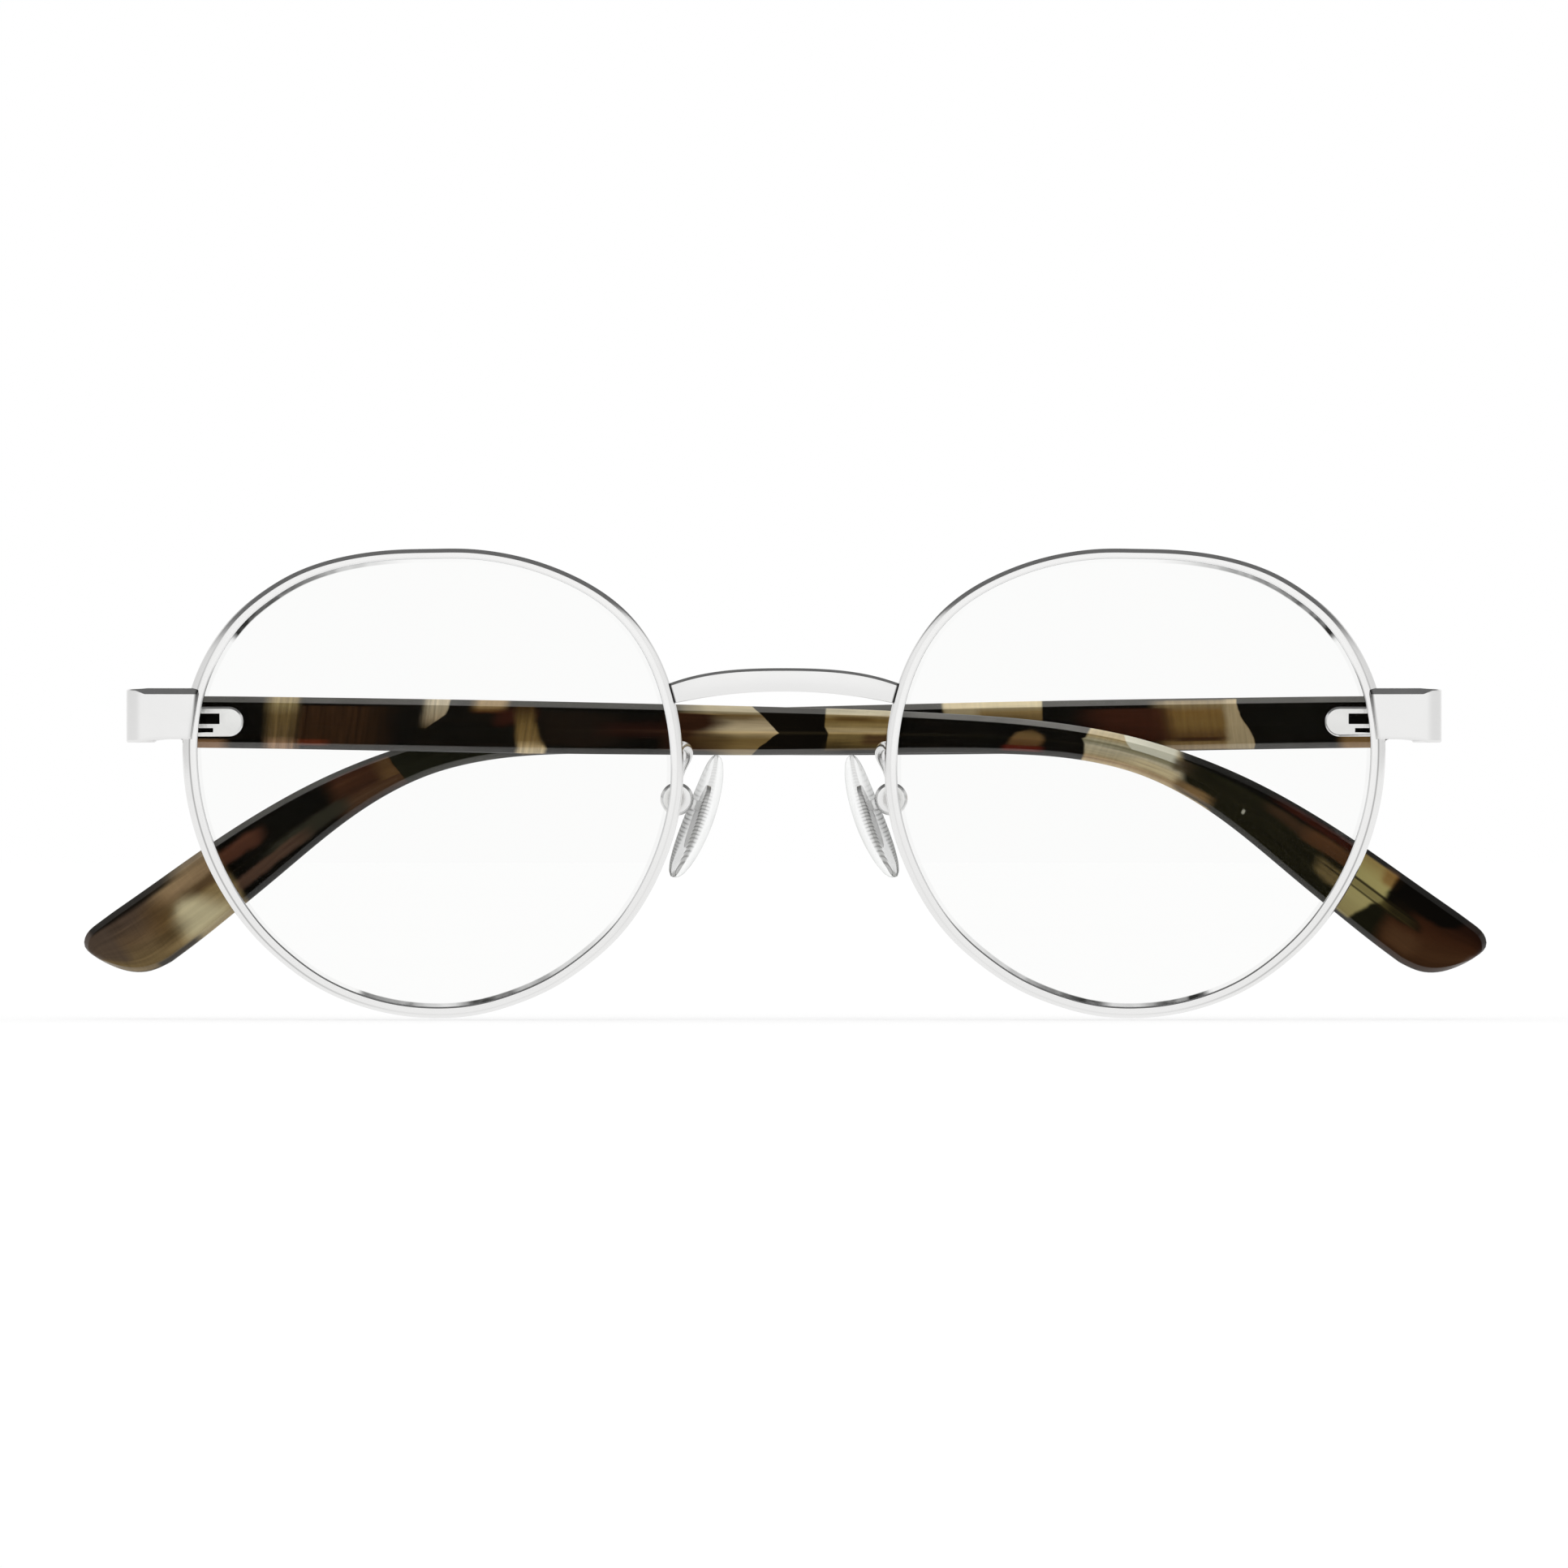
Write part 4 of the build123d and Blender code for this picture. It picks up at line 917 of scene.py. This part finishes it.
pad_mat = pad_material()
PAD_C = np.array((9.55, 7.9, -3.2))
tilt, splay = math.radians(20.0), math.radians(11.0)
P_UP = np.array((-math.sin(tilt), 0, math.cos(tilt)))
P_NOSE = np.array((-math.cos(tilt), 0, -math.sin(tilt)))
P_FACE = P_NOSE * math.cos(splay) + np.array((0, 1, 0)) * math.sin(splay)
P_SIDE = np.cross(P_FACE, P_UP)
PAD_LINE = curve([
    (6.7, 0.0), (6.1, 1.55), (4.2, 2.65), (1.6, 3.25), (-1.4, 3.75), (-4.2, 3.45), (-6.1, 2.1),
    (-6.7, 0.0), (-6.1, -2.1), (-4.2, -3.45), (-1.4, -3.75), (1.6, -3.25), (4.2, -2.65), (6.1, -1.55),
], 96, closed=True)


def nose_pad(side):
    rows, pu, pv, bk, ek = [], [], [], [], []

    def ring(f, top, drop=0.0):
        a, b = PAD_LINE[:, 0] * f, PAD_LINE[:, 1] * f
        hgt = (21.0 * 21.0 - a * a - b * b) ** 0.5 - 21.0 + 2.1 - drop if top else np.full(len(a), drop)
        p = PAD_C + a[:, None] * P_UP + b[:, None] * P_SIDE + hgt[:, None] * P_FACE
        rows.append(p * np.array((side, 1, 1)))
        pu.extend(a)
        pv.extend(b)
        bk.extend([0.0 if top else 1.0] * len(a))
        ek.extend([1.0 if (not top and f > 0.96) else 0.0] * len(a))

    for f, d in ((0.001, 0), (0.3, 0), (0.55, 0), (0.75, 0), (0.88, 0.02), (0.94, 0.08), (0.975, 0.2), (0.995, 0.4), (1.0, 0.75)):
        ring(f, True, d)
    for f, d in ((0.998, 0.42), (0.985, 0.24), (0.965, 0.12), (0.93, 0.04), (0.8, 0.0), (0.5, 0.0), (0.001, 0.0)):
        ring(f, False, d)
    v, f = skin(rows)
    tag = "left" if side > 0 else "right"
    return make(f"nose_pad_{tag}_clear", v, outward(v, f), f"nose_pad_{tag}_body", (f"nose_pad_{tag}",), pad_mat,
                {"pu": pu, "pv": pv, "bk": bk, "ek": ek})


ARM = [(10.95, 2.9, 3.3), (10.65, 4.0, 3.75), (10.05, 5.6, 3.7), (9.9, 7.1, 2.8), (10.5, 7.9, 1.6), (11.1, 7.95, -0.2)]
for s in (-1, 1):
    nose_pad(s)
    tag = "left" if s > 0 else "right"
    v, f = tube([(s * x, y, z) for x, y, z in ARM], 0.50)
    make(f"pad_arm_{tag}_wire", v, outward(v, f), "front", (f"pad_arm_{tag}",), hardware)

# ------------------------------------------------------------------ CAD pieces that are shown as they are
LOOKS = {"closing_block": hardware, "closing_screw": steel, "front_hinge": hardware, "hinge_screw": steel,
         "temple_hinge": hardware, "pad_box": hardware, "pad_screw": steel, "pad_insert": insert_metal, "core_wire": wire_steel}
for name, o in NODES.items():
    if o.hide_render:
        continue
    key = next(k for k in LOOKS if name.startswith(k))
    o.data.materials.clear()
    o.data.materials.append(LOOKS[key])
    if key == "core_wire":
        continue
    # edges broken by a fine radius, so that they catch the light
    weld = o.modifiers.new("weld", "WELD")
    weld.merge_threshold = 0.000004
    soft = o.modifiers.new("broken_edges", "BEVEL")
    soft.width = 0.00005 if "screw" not in key else 0.00003
    soft.segments = 2
    soft.limit_method = "ANGLE"
    soft.angle_limit = math.radians(40)
    soft.use_clamp_overlap = True
    soft.harden_normals = False
    o.data.shade_smooth()
    wn = o.modifiers.new("weighted", "WEIGHTED_NORMAL")
    wn.weight = 80
    wn.keep_sharp = True

# ------------------------------------------------------------------ stage
def floor_material():
    m = Mat("floor_white")
    grain = m.noise(m.place(), 3.0, 2.0, 0.5)
    d = m.n("ShaderNodeBsdfDiffuse", Color=m.mix(grain, (0.540, 0.540, 0.540, 1), (0.547, 0.547, 0.547, 1)))
    e = m.n("ShaderNodeEmission", Color=(1, 1, 1, 1), Strength=0.466)
    add = m.n("ShaderNodeAddShader")
    m.t.links.new(d.outputs[0], add.inputs[0])
    m.t.links.new(e.outputs[0], add.inputs[1])
    # polished metal sees the sweep below it a little darker
    low = m.n("ShaderNodeEmission", Color=(1, 1, 1, 1), Strength=0.89)
    path = m.t.nodes.new("ShaderNodeLightPath")
    return m.done(m.n("ShaderNodeMixShader", i0=path.outputs["Is Glossy Ray"], i1=add, i2=low))


fz = lo0.z - 0.0002
mesh = bpy.data.meshes.new("floor")
g = 6.0
mesh.from_pydata([(-g, -g, fz), (g, -g, fz), (g, g, fz), (-g, g, fz)], [], [(0, 1, 2, 3)])
floor = bpy.data.objects.new("floor", mesh)
bpy.context.scene.collection.objects.link(floor)
mesh.materials.append(floor_material())

world = bpy.data.worlds.new("studio")
bpy.context.scene.world = world
world.use_nodes = True
wt = world.node_tree
wt.nodes.clear()
out = wt.nodes.new("ShaderNodeOutputWorld")
geo = wt.nodes.new("ShaderNodeTexCoord")
sep = wt.nodes.new("ShaderNodeSeparateXYZ")
wt.links.new(geo.outputs["Generated"], sep.inputs[0])


def wmath(op, a, b, clamp=False):
    n = wt.nodes.new("ShaderNodeMath")
    n.operation = op
    n.use_clamp = clamp
    for i, v in enumerate((a, b)):
        if isinstance(v, bpy.types.NodeSocket):
            wt.links.new(v, n.inputs[i])
        else:
            n.inputs[i].default_value = v
    return n.outputs[0]


def wfit(v, a, b, c, d):
    n = wt.nodes.new("ShaderNodeMapRange")
    n.interpolation_type = "SMOOTHSTEP"
    wt.links.new(v, n.inputs[0])
    for i, x in enumerate((a, b, c, d)):
        n.inputs[i + 1].default_value = x
    return n.outputs[0]


wide = wmath("ABSOLUTE", sep.outputs["X"], 0.0)
front_light = wfit(wide, 0.30, 0.95, 0.96, 0.70)
cap = wfit(sep.outputs["Z"], 0.46, 0.66, 1.0, 0.0)
glossy_env = wmath("ADD", wmath("MULTIPLY", front_light, cap), wmath("MULTIPLY", wmath("SUBTRACT", 1.0, cap), 0.13))
path = wt.nodes.new("ShaderNodeLightPath")
level = wt.nodes.new("ShaderNodeMix")
level.data_type = "FLOAT"
wt.links.new(path.outputs["Is Glossy Ray"], level.inputs[0])
level.inputs[2].default_value = 1.0
wt.links.new(glossy_env, level.inputs[3])
bg = wt.nodes.new("ShaderNodeBackground")
bg.inputs["Color"].default_value = (1.0, 1.0, 1.0, 1)
wt.links.new(level.outputs[0], bg.inputs["Strength"])
wt.links.new(bg.outputs[0], out.inputs["Surface"])

cam_data = bpy.data.cameras.new("camera")
cam = bpy.data.objects.new("camera", cam_data)
bpy.context.scene.collection.objects.link(cam)
DIST = 3.0
cam_data.sensor_width = 36.0
cam_data.lens = 36.0 * DIST / 0.161
cam_data.clip_start, cam_data.clip_end = 0.1, 20.0
cam.location = (0.0, 0.003 - DIST, -0.00006)
cam.rotation_euler = (math.pi / 2, 0, 0)
bpy.context.scene.camera = cam
bpy.context.scene.view_settings.view_transform = "Standard"
bpy.context.scene.view_settings.look = "None"
